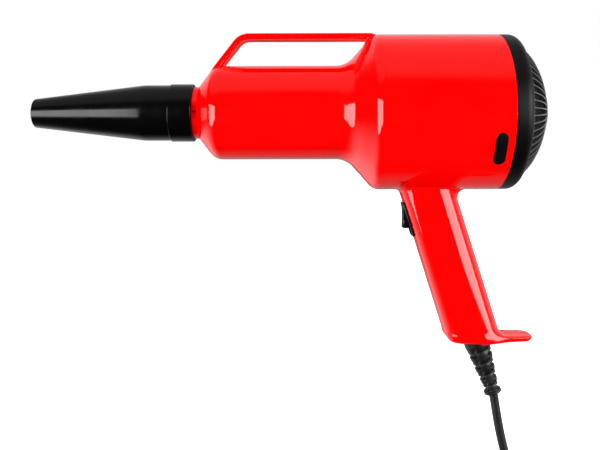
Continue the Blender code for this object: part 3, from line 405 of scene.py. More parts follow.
def lathe(outline, segments=96, place=AXIS_X):
    """Closed mesh of an outline of (height, radius) turned about the placement's Z axis."""
    points = []
    for height, radius in outline:
        for k in range(segments):
            angle = 2 * math.pi * (k + 0.5) / segments
            points.append((radius * math.cos(angle), radius * math.sin(angle), height))
    mesh = made_mesh("lathe", points, ring_faces(len(outline), segments, True), closed=True)
    mesh.transform(place)
    return mesh


def slab(outline, low, high, place=Matrix(), bevel=0.0, segments=3):
    """Flat body of an outline between two heights, with its edges rounded by bevel."""
    count = len(outline)
    points = [(*point, height) for height in (low, high) for point in outline]
    faces = [tuple(range(count))[::-1], tuple(range(count, 2 * count))]
    faces += [(k, (k + 1) % count, count + (k + 1) % count, count + k) for k in range(count)]
    mesh = made_mesh("slab", points, faces, closed=True)
    if bevel:
        softened(mesh, bevel, segments, 40)
    mesh.transform(place)
    return mesh


def brick(low, high, place=Matrix(), bevel=0.0):
    """Box between two corners, with its edges rounded by bevel."""
    outline = [(low[0], low[1]), (high[0], low[1]), (high[0], high[1]), (low[0], high[1])]
    return slab(outline, low[2], high[2], place, bevel)


def rod(radius, low, high, place, segments=48):
    """Round bar between two heights."""
    return slab(circle(radius, segments), low, high, place)


def merged(*meshes):
    """Several meshes as one, without joining their bodies."""
    whole = bmesh.new()
    for mesh in meshes:
        whole.from_mesh(mesh)
        bpy.data.meshes.remove(mesh)
    mesh = bpy.data.meshes.new("merged")
    whole.to_mesh(mesh)
    whole.free()
    return mesh


def linked(name, data):
    """New object, in the scene."""
    obj = bpy.data.objects.new(name, data)
    bpy.context.scene.collection.objects.link(obj)
    return obj


def combined(operation, base, *others):
    """Mesh of a base cut by, joined with or kept inside other closed meshes, in turn."""
    body = linked("body", base)
    tools = []
    for other in others:
        helper = linked("tool", other)
        tools.append(helper)
        modifier = body.modifiers.new("Boolean", "BOOLEAN")
        modifier.operation = operation
        modifier.solver = "MANIFOLD"
        modifier.object = helper
    bpy.context.view_layer.update()
    mesh = bpy.data.meshes.new_from_object(body.evaluated_get(bpy.context.evaluated_depsgraph_get()))
    for helper in (body, *tools):
        data = helper.data
        bpy.data.objects.remove(helper)
        bpy.data.meshes.remove(data)
    return mesh


def cut(base, *others):
    return combined("DIFFERENCE", base, *others)


def joined(base, *others):
    return combined("UNION", base, *others)


def piece(name, mesh, material, body, replaces=(), sharp=35.0, place=None):
    """A visible piece that rides on a body and stands for CAD nodes."""
    obj = linked(name, mesh)
    mesh.name = name
    mesh.materials.clear()
    mesh.materials.append(material)
    if sharp:
        mesh.shade_smooth()
        mesh.set_sharp_from_angle(angle=math.radians(sharp))
    if place is not None:
        obj.matrix_world = place
    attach(obj, body)
    if replaces:
        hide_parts(*replaces)
    return obj


# ---------------------------------------------------------------- materials

def plug(tree, socket, value):
    """Feeds an input from another node's output or from a plain value."""
    if isinstance(value, bpy.types.NodeSocket):
        tree.links.new(value, socket)
    else:
        socket.default_value = value


class Look:
    """A procedural material under construction."""

    def __init__(self, name, roughness, metallic=0.0):
        self.material = bpy.data.materials.new(name)
        self.material.use_nodes = True
        self.tree = self.material.node_tree
        self.shader = self.tree.nodes["Principled BSDF"]
        self.shader.inputs["Metallic"].default_value = metallic
        self.shader.inputs["Roughness"].default_value = roughness
        self.place = self.node("ShaderNodeTexCoord").outputs["Object"]

    def node(self, kind, **settings):
        made = self.tree.nodes.new(kind)
        for key, value in settings.items():
            setattr(made, key, value)
        return made

    def feed(self, made, **inputs):
        for key, value in inputs.items():
            plug(self.tree, made.inputs[key.replace("_", " ")], value)
        return made

    def noise(self, scale, detail=3.0, stretch=(1, 1, 1)):
        """Noise whose grain is about one over scale, in metres."""
        spread = self.feed(self.node("ShaderNodeMapping"), Vector=self.place, Scale=stretch)
        made = self.feed(self.node("ShaderNodeTexNoise"), Vector=spread.outputs[0], Scale=scale,
                         Detail=detail)
        return made.outputs[0]

    def ranged(self, value, low, high, start=0.3, end=0.7):
        made = self.node("ShaderNodeMapRange", clamp=True)
        self.feed(made, Value=value, From_Min=start, From_Max=end, To_Min=low, To_Max=high)
        return made.outputs[0]

    def mix(self, factor, one, two, blend="MIX"):
        made = self.node("ShaderNodeMix", data_type="RGBA", blend_type=blend)
        for index, value in ((0, factor), (6, one), (7, two)):
            plug(self.tree, made.inputs[index], (*value, 1.0) if isinstance(value, tuple) else value)
        return made.outputs[2]

    def edges(self, low=0.53, high=0.6):
        """1 on worn convex edges and 0 elsewhere."""
        pointed = self.node("ShaderNodeNewGeometry").outputs["Pointiness"]
        patchy = self.ranged(self.noise(90, 4), 0.0, 1.0, 0.42, 0.62)
        worn = self.ranged(pointed, 0.0, 1.0, low, high)
        both = self.node("ShaderNodeMath", operation="MULTIPLY")
        for socket, value in zip(both.inputs, (worn, patchy)):
            plug(self.tree, socket, value)
        return both.outputs[0]

    def bump(self, *heights):
        """Bumps laid on each other, each as (height, strength, distance in millimetres)."""
        normal = None
        for height, strength, distance in heights:
            made = self.feed(self.node("ShaderNodeBump"), Height=height, Strength=strength,
                             Distance=distance * MM)
            if normal is not None:
                self.tree.links.new(normal, made.inputs["Normal"])
            normal = made.outputs[0]
        self.tree.links.new(normal, self.shader.inputs["Normal"])

    def finish(self, colour=None, roughness=None):
        if colour is not None:
            self.tree.links.new(colour, self.shader.inputs["Base Color"])
        if roughness is not None:
            self.tree.links.new(roughness, self.shader.inputs["Roughness"])
        return self.material


def red_plastic():
    """Polished red moulding: faint flow marks, a trace of orange peel, paler rubbed edges."""
    look = Look("red_gloss", 0.06)
    deep, clear = (0.93, 0.0, 0.0), (1.0, 0.0004, 0.0004)
    colour = look.mix(look.ranged(look.noise(14, 2), 0, 1), deep, clear)
    colour = look.mix(look.edges(0.56, 0.7), colour, (1.0, 0.05, 0.045))
    look.bump((look.noise(210, 1), 0.02, 0.2), (look.noise(2600, 2), 0.015, 0.02))
    return look.finish(colour, look.ranged(look.noise(60, 4), 0.035, 0.085))


def black_plastic(name, grain, low, high, shade=0.0035, shine=0.5):
    """Satin black moulding with a fine spark-eroded grain."""
    look = Look(name, low)
    look.shader.inputs["Specular IOR Level"].default_value = shine
    colour = look.mix(look.noise(40, 3), (shade * 0.7,) * 3, (shade * 1.3,) * 3)
    colour = look.mix(look.edges(), colour, (0.03, 0.03, 0.03))
    look.bump((look.noise(grain, 3), 0.12, 0.05), (look.noise(120, 2), 0.05, 0.15))
    return look.finish(colour, look.ranged(look.noise(75, 4), low, high))


def rubber():
    """Matt rubber with a soft bloom."""
    look = Look("rubber", 0.5)
    bloom = look.ranged(look.noise(55, 5), 0, 1, 0.4, 0.75)
    colour = look.mix(bloom, (0.0045, 0.0045, 0.0045), (0.011, 0.011, 0.011))
    look.bump((look.noise(1800, 4), 0.25, 0.05), (look.noise(300, 2), 0.1, 0.1))
    return look.finish(colour, look.ranged(look.noise(140, 4), 0.34, 0.52))


def foam():
    """Open-cell foam: rounded pores with thin walls, their middles darkened as painted shade."""
    look = Look("foam", 0.95)
    pores = look.feed(look.node("ShaderNodeTexVoronoi", feature="SMOOTH_F1"), Vector=look.place,
                      Scale=900.0, Smoothness=0.4).outputs["Distance"]
    # painted shade: the colour darkens towards each pore's middle, where the bump sinks
    colour = look.mix(look.ranged(pores, 0, 1, 0.1, 0.6), (0.003, 0.003, 0.003), (0.018, 0.018, 0.019))
    look.bump((pores, 1.0, 0.5))
    return look.finish(colour)


def metal(name, colour, low, high, stretch=(1, 1, 1), scale=900.0, dirt=(0.05, 0.045, 0.04)):
    """Machined or drawn metal, brushed along its stretched grain, with dirt in patches."""
    look = Look(name, low, 1.0)
    brushed = look.noise(scale, 3, stretch)
    dull = tuple(0.72 * value for value in colour)
    made = look.mix(brushed, dull, colour)
    made = look.mix(look.ranged(look.noise(70, 5), 0, 0.35, 0.55, 0.8), made, dirt)
    look.bump((brushed, 0.15, 0.03))
    return look.finish(made, look.ranged(look.noise(120, 3), low, high))


def laminations():
    """Stacked thin steel sheets: fine lines across the motor axis, with varnish stains."""
    look = Look("laminations", 0.45, 0.9)
    sheets = look.feed(look.node("ShaderNodeTexWave", wave_type="BANDS", bands_direction="X"),
                       Vector=look.place, Scale=320.0, Distortion=0.05).outputs["Fac"]
    colour = look.mix(sheets, (0.11, 0.11, 0.12), (0.34, 0.34, 0.35))
    colour = look.mix(look.ranged(look.noise(60, 4), 0, 0.6, 0.45, 0.7), colour, (0.12, 0.07, 0.03))
    look.bump((sheets, 0.6, 0.08))
    return look.finish(colour, look.ranged(look.noise(150, 3), 0.35, 0.6))


def windings():
    """Enamelled copper strands, lacquered, running over each other, with painted shade in the grooves
    between them.
    """
    look = Look("windings", 0.25, 0.85)
    strands = look.feed(look.node("ShaderNodeTexWave", wave_type="BANDS", bands_direction="DIAGONAL"),
                        Vector=look.place, Scale=420.0, Distortion=2.5, Detail=2.0).outputs["Fac"]
    # painted shade: the dark end of the bands lies in the bump's grooves between the strands
    colour = look.mix(strands, (0.16, 0.045, 0.015), (0.62, 0.22, 0.08))
    look.bump((strands, 0.9, 0.25))
    return look.finish(colour, look.ranged(look.noise(200, 3), 0.18, 0.4))


def insulation(name, colour):
    """Smooth coloured wire insulation with a slightly dusty skin."""
    look = Look(name, 0.35)
    dusty = tuple(0.6 * value + 0.02 for value in colour)
    made = look.mix(look.ranged(look.noise(150, 4), 0, 1, 0.45, 0.75), colour, dusty)
    look.bump((look.noise(700, 3), 0.1, 0.05))
    return look.finish(made, look.ranged(look.noise(250, 3), 0.28, 0.5))


RED = red_plastic()
BLACK = black_plastic("black_satin", 1500, 0.2, 0.3)
NOZZLE_BLACK = black_plastic("nozzle_satin", 1900, 0.14, 0.21, 0.0018, 0.34)
RING_BLACK = black_plastic("ring_matt", 1500, 0.36, 0.46, 0.0015, 0.2)
# painted highlight: the grille's tone is lifted far above the other blacks to stand in for its ribs'
# reflections of the window light
GRILLE_PAINTED_SHEEN_BLACK = black_plastic("grille_satin", 1500, 0.2, 0.3, 0.04, 1.0)
RUBBER = rubber()
FOAM = foam()
STEEL = metal("steel", (0.56, 0.56, 0.57), 0.22, 0.4)
ZINC = metal("zinc_screw", (0.66, 0.65, 0.6), 0.2, 0.38, scale=500.0)
ALUMINIUM = metal("aluminium", (0.78, 0.78, 0.79), 0.28, 0.45, (0.3, 1, 1), 700.0)
BRASS = metal("brass", (0.74, 0.52, 0.2), 0.2, 0.36, scale=800.0)
COPPER = metal("copper_bars", (0.72, 0.33, 0.17), 0.18, 0.34, (0.1, 1, 1), 1500.0)
LAMINATION = laminations()
WINDING = windings()
CARBON = black_plastic("carbon", 900, 0.45, 0.6, 0.02)
BROWN = insulation("brown_wire", (0.15, 0.05, 0.02))
BLUE = insulation("blue_wire", (0.01, 0.07, 0.38))

LOOKS = {
    "steel": STEEL, "aluminium": ALUMINIUM, "laminated_steel": LAMINATION, "copper": WINDING,
    "brass": BRASS, "carbon": CARBON, "brown_insulation": BROWN, "blue_insulation": BLUE,
    "black_rubber": RUBBER, "grey_foam": FOAM, "black_satin_plastic": BLACK,
    "red_gloss_plastic": RED,
}


def dress_frame():
    """Gives every CAD node the finish of its material slot."""
    special = {"commutator": COPPER}
    for row in frame["record"]["subparts"]:
        node = frame["nodes"][row["node"]]
        material = special.get(row["node"], LOOKS[row["material_slot"]])
        if not node.data.materials:
            node.data.materials.append(material)
        for index in range(len(node.data.materials)):
            node.data.materials[index] = material
        node.data.polygons.foreach_set("use_smooth", [True] * len(node.data.polygons))
        node.data.set_sharp_from_angle(angle=math.radians(32))


# ---------------------------------------------------------------- housing

def shade_by_slope(mesh, distance):
    """Shades the faces that lie on a surface by that surface's own slope."""
    count = len(mesh.vertices)
    points = np.empty(count * 3)
    mesh.vertices.foreach_get("co", points)
    points = points.reshape(-1, 3) / MM
    here, gradient = slope(points, distance)
    gradient /= np.maximum(np.linalg.norm(gradient, axis=1), 1e-6)[:, None]
    corner = np.empty(len(mesh.loops), int)
    mesh.loops.foreach_get("vertex_index", corner)
    normal = np.empty(len(mesh.polygons) * 3)
    mesh.polygons.foreach_get("normal", normal)
    normal = normal.reshape(-1, 3)
    size = np.empty(len(mesh.polygons), int)
    mesh.polygons.foreach_get("loop_total", size)
    owner = np.repeat(np.arange(len(size)), size)
    off = np.abs(here) > 0.04
    agree = (normal[owner] * gradient[corner]).sum(1)
    bad = np.bincount(owner, off[corner] | (agree < 0.6), len(size)) > 0
    normals = np.where(bad[owner][:, None], 0.0, gradient[corner])
    mesh.normals_split_custom_set(normals.tolist())


def moulded_in():
    """Everything that stands inside the shells: bulkhead, bosses, ribs, motor seat, clamp posts."""
    kept = [lathe([(-76, 41), (-73.5, 41), (-73.5, DRUM_R + 5), (-76, DRUM_R + 5)], 120)]
    for x, z in SCREWS:
        kept.append(rod(5.0, -70, 70, along((0, 1, 0), (x, 0, z))))
    for quarter in range(4):
        turn = Matrix.Rotation(math.radians(45 + 90 * quarter), 4, "X")
        kept.append(brick((-124, -1.5, 53.4), (-84, 1.5, DRUM_R + 3), turn))
    for side in (-1, 1):
        near, far = sorted((side * 5.5, side * 30))
        kept.append(brick((-66, near, -158), (-57, far, -148)))
    reach = BARREL_R + 3
    seat = rod(17, -221, -214, AXIS_X, 64)
    seat = joined(seat, brick((-221, -2, -reach), (-214, 2, reach)),
                  brick((-221, -reach, -2), (-214, reach, 2)))
    kept.append(cut(seat, rod(13.5, -222, -213, AXIS_X, 64)))
    return kept


def oblong(length, width, steps=12):
    """Outline of a slot with round ends, long in its second coordinate."""
    reach = (length - width) / 2
    ends = []
    for k in range(2 * steps + 2):
        half = 0 if k <= steps else 1
        angle = math.pi * (k - half) / steps
        ends.append((width / 2 * math.cos(angle), width / 2 * math.sin(angle) + (reach, -reach)[half]))
    return ends


LATCH_X = -47.8
LATCH_LENGTH = 26.0
LATCH_WIDTH = 8.4
LATCH_CLEARANCE = 0.35
LATCH_ANGLE = math.radians(29.5)


def latch_place(side):
    """Placement on a release button: u along +X, v around the drum, w outwards."""
    outward = Vector((0, side * math.cos(LATCH_ANGLE), -math.sin(LATCH_ANGLE)))
    return placed((LATCH_X, 0, 0), (1, 0, 0), outward.cross(Vector((1, 0, 0))))


SWITCH_Z = -85.0
SWITCH_HALF_LENGTH = 12.9
SWITCH_HALF_WIDTH = 6.4
SWITCH_PIN_R = 1.3
SWITCH_PLACE = placed(
    (GRIP_FRONT_X + math.tan(GRIP_TILT) * (-DRUM_R - SWITCH_Z), 0, SWITCH_Z),
    (math.sin(GRIP_TILT), 0, -math.cos(GRIP_TILT)), (-math.cos(GRIP_TILT), 0, -math.sin(GRIP_TILT)))
CORD_TILT = math.radians(17.8)
BOOT_PLACE = along((math.sin(CORD_TILT), 0, -math.cos(CORD_TILT)), (-51.8, 0, -185.0))


def chamfered(mesh, normal, at, width, depth):
    """Breaks the outer edge left by a cut at a plane: a strip of a width sinks by a depth."""
    work = bmesh.new()
    work.from_mesh(mesh)
    direction = Vector(normal)
    bmesh.ops.bisect_plane(work, geom=[*work.verts, *work.edges, *work.faces],
                           plane_co=direction * (at - width) * MM, plane_no=direction, dist=1e-7)
    work.verts.ensure_lookup_table()
    points = np.array([vert.co for vert in work.verts]) / MM
    flat = np.array(direction)
    edge = np.nonzero(np.abs(points @ flat - at) < 0.01)[0]
    here, gradient = slope(points[edge], body_distance)
    gradient -= np.outer(gradient @ flat, flat)
    gradient /= np.maximum(np.linalg.norm(gradient, axis=1), 1e-6)[:, None]
    for index, distance, way in zip(edge, here, gradient):
        if abs(distance) < 0.05:
            work.verts[index].co -= Vector(way * depth * MM)
    work.to_mesh(mesh)
    work.free()
    return mesh


def half_shell(side):
    """One shell, closed and cut on the parting plane. side is -1 on the left and 1 on the right."""
    fine = 1.15
    low, top = (SPIGOT_X - 6, -66.0, BASE_Z - 4), DRUM_R + 4
    outer = surface(body_distance, low, (HEEL_TIP_X + 4, 3.0, top), fine)
    inner = surface(cavity_distance, low, (REAR_X + 6, 5.0, top), 2 * fine)
    if side > 0:
        for mesh in (outer, inner):
            mesh.transform(Matrix.Scale(-1, 4, (0, 1, 0)))
            mesh.flip_normals()

    outer = cut(outer, brick((-400, -90, -90), (NECK_REAR_X - 1.5, 90, 90)))
    neck = lathe(rounded([(NECK_REAR_X + 6, 4), (NECK_REAR_X + 6, NECK_R), (NECK_STEP_X, NECK_R, 0.5),
                          (NECK_STEP_X, SPIGOT_R, 0.2), (SPIGOT_X, SPIGOT_R, 0.7), (SPIGOT_X, 4)]), 128)
    outer = joined(outer, neck)
    inner = joined(inner, rod(DUCT_R, SPIGOT_X - 3, NECK_REAR_X + 14, AXIS_X, 128))
    inner = cut(inner, *moulded_in())
    shell = cut(outer, inner)

    # Known fault: 20 is less than NECK_R, so a sliver of the neck stays on the other shell's side.
    away = sorted((side * PART_GAP, -side * 20))
    reach = (-400, away[0], -400), (100, away[1], 200)
    cutters = [brick(*reach), brick((REAR_X, -90, -90), (50, 90, 90))]
    for x, z in SCREWS:
        place = along((0, 1, 0), (x, 0, z))
        if side > 0:
            cutters += [rod(SCREW_HOLE_R, -1, 20, place), rod(SCREW_HEAD_HOLE_R, SCREW_SEAT_Y, 70, place)]
        else:
            cutters.append(rod(SCREW_PILOT_R, -10, 1, place))
    slot = oblong(LATCH_LENGTH + 2 * LATCH_CLEARANCE, LATCH_WIDTH + 2 * LATCH_CLEARANCE)
    cutters.append(slab(slot, 50, 70, latch_place(side)))
    window, across = SWITCH_HALF_LENGTH + GAP, SWITCH_HALF_WIDTH + GAP
    cutters.append(brick((-window, -8, -across), (window, 8, across), SWITCH_PLACE))
    cutters.append(rod(10.9, -12, 9, BOOT_PLACE, 64))
    cutters.append(rod(1.1, -64, -50, along((1, 0, 0), (0, side * 8, -153)), 16))
    return cut(shell, *cutters)


def add_shells():
    for name, node, side in (("left_shell", "housing_left", -1), ("right_shell", "housing_right", 1)):
        mesh = half_shell(side)
        chamfered(mesh, (0, -side, 0), -PART_GAP, 0.45, 0.3)
        chamfered(mesh, (1, 0, 0), REAR_X, 0.45, 0.3)
        obj = piece(name, mesh, RED, "body", [node], sharp=28)
        shade_by_slope(obj.data, body_distance)


def add_shell_screws():
    """Pan-head screws with a cross recess and a cut thread."""
    head_low = SCREW_SEAT_Y + GAP
    profile = [(-9.0, 0.0), (-7.6, 0.9)]
    for k in range(14):
        start = -7.4 + 0.9 * k
        profile += [(start, 0.95), (start + 0.42, 1.45), (start + 0.55, 1.45)]
    profile += [(5.6, 1.15), (head_low, 1.15), (head_low, 2.7), (head_low + 0.25, 3.0),
                (head_low + 0.9, 3.0), (head_low + 1.7, 2.3), (head_low + 2.1, 1.2), (head_low + 2.2, 0.0)]
    base = lathe(profile, 36, Matrix())
    recess = joined(brick((-1.6, -0.32, head_low + 0.7), (1.6, 0.32, head_low + 3)),
                    brick((-0.32, -1.6, head_low + 0.7), (0.32, 1.6, head_low + 3)))
    base = cut(base, recess)
    for index, (x, z) in enumerate(SCREWS):
        place = along((0, 1, 0), (x, 0, z)) @ Matrix.Rotation(0.7 * index, 4, "Z")
        piece(f"shell_screw_{index + 1}", base if index == 0 else base.copy(), ZINC, "body",
              [f"housing_screw_{index + 1}"], place=place)


# ---------------------------------------------------------------- nozzle and intake cover

def add_nozzle():
    tip, rear = span("nozzle", 0)
    collar = rear - 18.0
    collar_r = span("nozzle", 2)[1]
    tube_r = collar_r - 0.8
    tip_r = 11.4
    wall = 2.4
    cone_x = -316.5
    shoulder = SPIGOT_X - GAP
    bore = SPIGOT_R + 0.45
    outline = rounded([
        (rear, bore, 0.4), (rear, collar_r, 0.8), (collar, collar_r, 0.5), (collar, tube_r, 0.15),
        (cone_x, tube_r, 45), (tip, tip_r, 1.3), (tip, tip_r - wall, 0.5), (cone_x, tube_r - wall, 20),
        (shoulder - 2, tube_r - wall, 0.6), (shoulder, DUCT_R, 0.5), (shoulder, bore, 0.3)], step=6)
    piece("nozzle_tube", lathe(outline, 144), NOZZLE_BLACK, "nozzle", ["nozzle"])


RING_REAR_X = -25.2
SEAT_R = 57.5
DOME_LINE = [(-25.0, 56.6), (-22.6, 53.8), (-19.0, 50.4), (-15.0, 46.0), (-11.8, 41.4), (-8.7, 36.0),
             (-5.2, 28.0), (-1.9, 18.0)]


def add_cover_ring():
    # Known fault: the node's lowest x is its latch fingers' tips, so the skirt starts 11 mm inside
    # the shells. It should start 0.4 mm behind their rear edge.
    front = span("cover_ring", 0)[0] + 3.9
    sleeve = DRUM_R - WALL - GAP
    outline = rounded([
        (front, DRUM_R - 0.1, 0.25), (-27.9, DRUM_R - 0.2, 7), (RING_REAR_X, 58.9, 0.5),
        (RING_REAR_X, SEAT_R, 0.2), (-28, SEAT_R, 0.2), (-28, 50.5, 0.2), (-30, 50.5, 0.2), (-30, 52.6, 0.2),
        (-41.5, 52.6, 0.3), (-41.5, sleeve, 0.4), (front, sleeve, 0.2)], step=8)
    ring = lathe(outline, 192)
    place = placed((0, 0, 0), (0, 1, 0), (0, 0, 1))
    for side in (-1, 1):
        middle = math.atan2(-math.sin(LATCH_ANGLE), side * math.cos(LATCH_ANGLE))
        arc = [middle + math.radians(-9 + 18 * k / 10) for k in range(11)]
        finger = [(54.7 * math.cos(a), 54.7 * math.sin(a)) for a in arc]
        finger += [(52.8 * math.cos(a), 52.8 * math.sin(a)) for a in reversed(arc)]
        ring = joined(ring, slab(finger, -53, -40.5, place, 0.4))
    piece("intake_ring", ring, RING_BLACK, "cover", ["cover_ring"])


def add_dome():
    """Sixty radial ribs on a crowned line, between a rim bead and a flat disc."""
    count = 60
    rib = 1.05
    depth = 2.6
    line = [Vector(point) for point in curved(DOME_LINE, 5)]
    points = []
    for index, here in enumerate(line):
        ahead = (line[min(index + 1, len(line) - 1)] - line[max(index - 1, 0)]).normalized()
        inward = Vector((ahead.y, -ahead.x))
        if inward.x > 0:
            inward = -inward
        half = rib / 2 * (1.0 if here.y > 24 else 0.75)
        for depth_at, share in ((depth, 0.75), (0.35, 1.0), (0.08, 0.85), (0.0, 0.55)):
            edge = here + inward * depth_at
            points.append((edge.x, half * share, edge.y))
        for depth_at, share in ((0.0, 0.55), (0.08, 0.85), (0.35, 1.0), (depth, 0.75)):
            edge = here + inward * depth_at
            points.append((edge.x, -half * share, edge.y))
    base = made_mesh("rib", points, ring_faces(len(line), 8, False), closed=True)
    ribs = []
    for k in range(count):
        copy = base.copy()
        copy.transform(Matrix.Rotation(2 * math.pi * k / count, 4, "X"))
        ribs.append(copy)
    bpy.data.meshes.remove(base)
    rim = lathe(rounded([(-27.7, 54.4, 0.3), (-27.7, 57.2, 0.3), (-25.4, 57.2, 0.2), (-24.9, 57.3, 0.4),
                         (-24.0, 55.9, 0.5), (-25.4, 54.6, 0.5), (-26.6, 54.4, 0.3)], step=15), 192)
    crown = [(-1.55 * (r / 19.0) ** 2, r) for r in (18.9, 17, 15, 13, 11, 9.5)]
    hub = lathe([(-4.9, 0.0), (-4.9, 18.8), (-2.2, 19.6), (-1.7, 19.5), *crown,
                 (-0.02, 8.8), (0.0, 8.4), (0.0, 0.0)], 120)
    grille = joined(merged(*ribs), rim, hub)
    piece("intake_dome", grille, GRILLE_PAINTED_SHEEN_BLACK, "cover", ["intake_grille"])


def add_foam():
    """The filter disc, slightly pillowed, with rounded rims."""
    low, high = span("filter_foam", 0)
    radius = span("filter_foam", 2)[1]
    outline = [(low + 0.4, 0.0), (low, radius * 0.5), (low + 0.3, radius - 1.2), (low + 1.5, radius - 0.1),
               (high - 1.5, radius - 0.1), (high - 0.3, radius - 1.2), (high, radius * 0.5),
               (high - 0.4, 0.0)]
    piece("foam_disc", lathe(outline, 96), FOAM, "cover", ["filter_foam"], sharp=60)


def add_buttons():
    for name, node, body, side in (("left_button", "latch_button_left", "button_left", -1),
                                   ("right_button", "latch_button_right", "button_right", 1)):
        place = latch_place(side)
        button = slab(oblong(LATCH_LENGTH, LATCH_WIDTH, 16), 57.2, 66, place)
        keep = lathe([(LATCH_X - 20, 57.2), (LATCH_X + 20, 57.2), (LATCH_X + 20, DRUM_R - 0.1),
                      (LATCH_X - 20, DRUM_R - 0.1)], 360)
        button = combined("INTERSECT", button, keep)
        softened(button, 0.7, 4, 50, clamp=False, outside=DRUM_R - 0.3)
        flange = slab(oblong(LATCH_LENGTH + 2.8, LATCH_WIDTH + 2.8, 16), 50, 66, place)
        shell = lathe([(LATCH_X - 20, 57.0), (LATCH_X + 20, 57.0), (LATCH_X + 20, DRUM_R - WALL - 0.5),
                       (LATCH_X - 20, DRUM_R - WALL - 0.5)], 360)
        flange = combined("INTERSECT", flange, shell)
        piece(name, joined(button, flange), BLACK, body, [node])


# ---------------------------------------------------------------- switch, boot and cord

def add_switch():
    """Bezel with a raised lip, body behind it, and a rocker with a dished face."""
    half = 14.3
    lying = SWITCH_PLACE @ placed((0, 0, 0), (1, 0, 0), (0, 0, 1))
    bezel = slab(rounded([(-half, -7.6, 3.0), (half, -7.6, 3.0), (half, 7.6, 3.0), (-half, 7.6, 3.0)]),
                 -1.9, -0.15, lying, 0.55, 4)
    body = brick((-SWITCH_HALF_LENGTH, -18, -SWITCH_HALF_WIDTH),
                 (SWITCH_HALF_LENGTH, 0.9, SWITCH_HALF_WIDTH), SWITCH_PLACE, 0.3)
    well = brick((-11.9, -15.5, -5.3), (11.9, 5, 5.3), SWITCH_PLACE)
    pivot = SWITCH_PLACE @ Matrix.Translation((0, -5.3 * MM, 0))
    frame_mesh = cut(joined(bezel, body), well, rod(SWITCH_PIN_R, -5.9, 5.9, pivot, 24))
    piece("switch_frame", frame_mesh, BLACK, "body", ["switch_housing"], sharp=30)

    tilted = pivot @ Matrix.Rotation(math.radians(17.3), 4, "Z")
    dish = [(8.8 - 17.6 * k / 12, 10.5 - 0.45 * math.sin(math.pi * k / 12)) for k in range(13)]
    outline = dish + [(-8.8, 4.0), (-5, -3), (5, -3), (8.8, 4.0)]
    rocker = slab(outline, -5, 5, tilted, 0.6, 3)
    rocker = cut(rocker, rod(SWITCH_PIN_R, -6, 6, tilted, 24))
    piece("rocker_cap", rocker, BLACK, "rocker", ["switch_rocker"], sharp=30)


def add_boot():
    """Strain relief: a tapered sleeve with staggered notches and an end collar."""
    pitch = 9.4
    around = 96
    stations = np.concatenate([np.linspace(-15.6, 0, 8), np.arange(0.35, 42.0, 0.35)])
    taper = 10.3 - 1.15 * stations / pitch
    points = []
    inner = span("power_cord", 1)[1] + 0.25
    angles = 2 * math.pi * np.arange(around) / around
    for w, radius in zip(stations, taper):
        if w < -12.6:
            ring = np.full(around, 13.0)
        elif w < 0.5:
            ring = np.full(around, 10.3)
        elif w > 37.5:
            ring = np.full(around, 6.9 - 2.2 * ease((w - 40.4) / 1.6, 0, 1) - 0.9 * (w < 38.3))
        else:
            phase = (w / pitch) % 1
            other = (w / pitch + 0.5) % 1
            side = ease(np.abs(np.cos(angles)), 0.45, 0.62)
            face = ease(np.abs(np.sin(angles)), 0.8, 0.9)
            notch = ease(phase, 0.66, 0.72) * (1 - ease(phase, 0.93, 0.99))
            slot = ease(other, 0.66, 0.72) * (1 - ease(other, 0.93, 0.99))
            ring = radius - 0.45 * np.sin(math.pi * phase) ** 8 - 2.9 * notch * side - 2.6 * slot * face
        points += [(r * math.cos(a), r * math.sin(a), w) for r, a in zip(ring, angles)]
    for w in (stations[-1], stations[0]):
        points += [(inner * math.cos(a), inner * math.sin(a), w) for a in angles]
    mesh = made_mesh("boot", points, ring_faces(len(stations) + 2, around, True), closed=True)
    mesh.transform(BOOT_PLACE)
    piece("strain_relief", mesh, RUBBER, "body", ["cord_boot"], sharp=40)


def tube_along(line, radius, segments=40):
    """Round tube with flat ends along points in metres."""
    line = [Vector(point) for point in line]
    points = []
    side = Vector((0, 1, 0))
    for index, here in enumerate(line):
        ahead = (line[min(index + 1, len(line) - 1)] - line[max(index - 1, 0)]).normalized()
        up = side.cross(ahead).normalized()
        for k in range(segments):
            angle = 2 * math.pi * k / segments
            points.append((here + (side * math.cos(angle) + up * math.sin(angle)) * radius * MM) / MM)
    faces = ring_faces(len(line), segments, False)
    return made_mesh("tube", [tuple(point) for point in points], faces, closed=True)


def add_cord():
    """Mains cord, hanging in a slight bow to its cut end."""
    top = BOOT_PLACE @ Vector((0, 0, -39 * MM))
    outlet = BOOT_PLACE @ Vector((0, 0, 41.6 * MM))
    tail = Vector((-27.0, 0, -285.0)) * MM
    sag = (outlet + tail) / 2 + Vector((-1.0 * MM, 0, 0))
    line = [top, BOOT_PLACE @ Vector((0, 0, -16 * MM)), *curved([outlet, sag, tail], 14)]
    piece("mains_cord", tube_along(line, 3.5), RUBBER, "body", ["power_cord"], sharp=50)


# ---------------------------------------------------------------- stage, light and camera

def add_stage():
    """A pale floor that runs out of sight, under a white surround."""
    mesh = made_mesh("floor", [(-9000, -9000, -330), (9000, -9000, -330), (9000, 9000, -330),
                               (-9000, 9000, -330)], [(0, 1, 2, 3)])
    floor = linked("floor", mesh)
    look = Look("pale_floor", 0.9)
    look.feed(look.shader, Emission_Color=(1, 1, 1, 1), Emission_Strength=0.9)
    look.shader.inputs["Specular IOR Level"].default_value = 0.0
    mesh.materials.append(look.finish(look.mix(look.noise(3, 2), (0.9, 0.9, 0.9), (0.93, 0.93, 0.93))))
    floor.visible_glossy = False
    floor.visible_diffuse = False


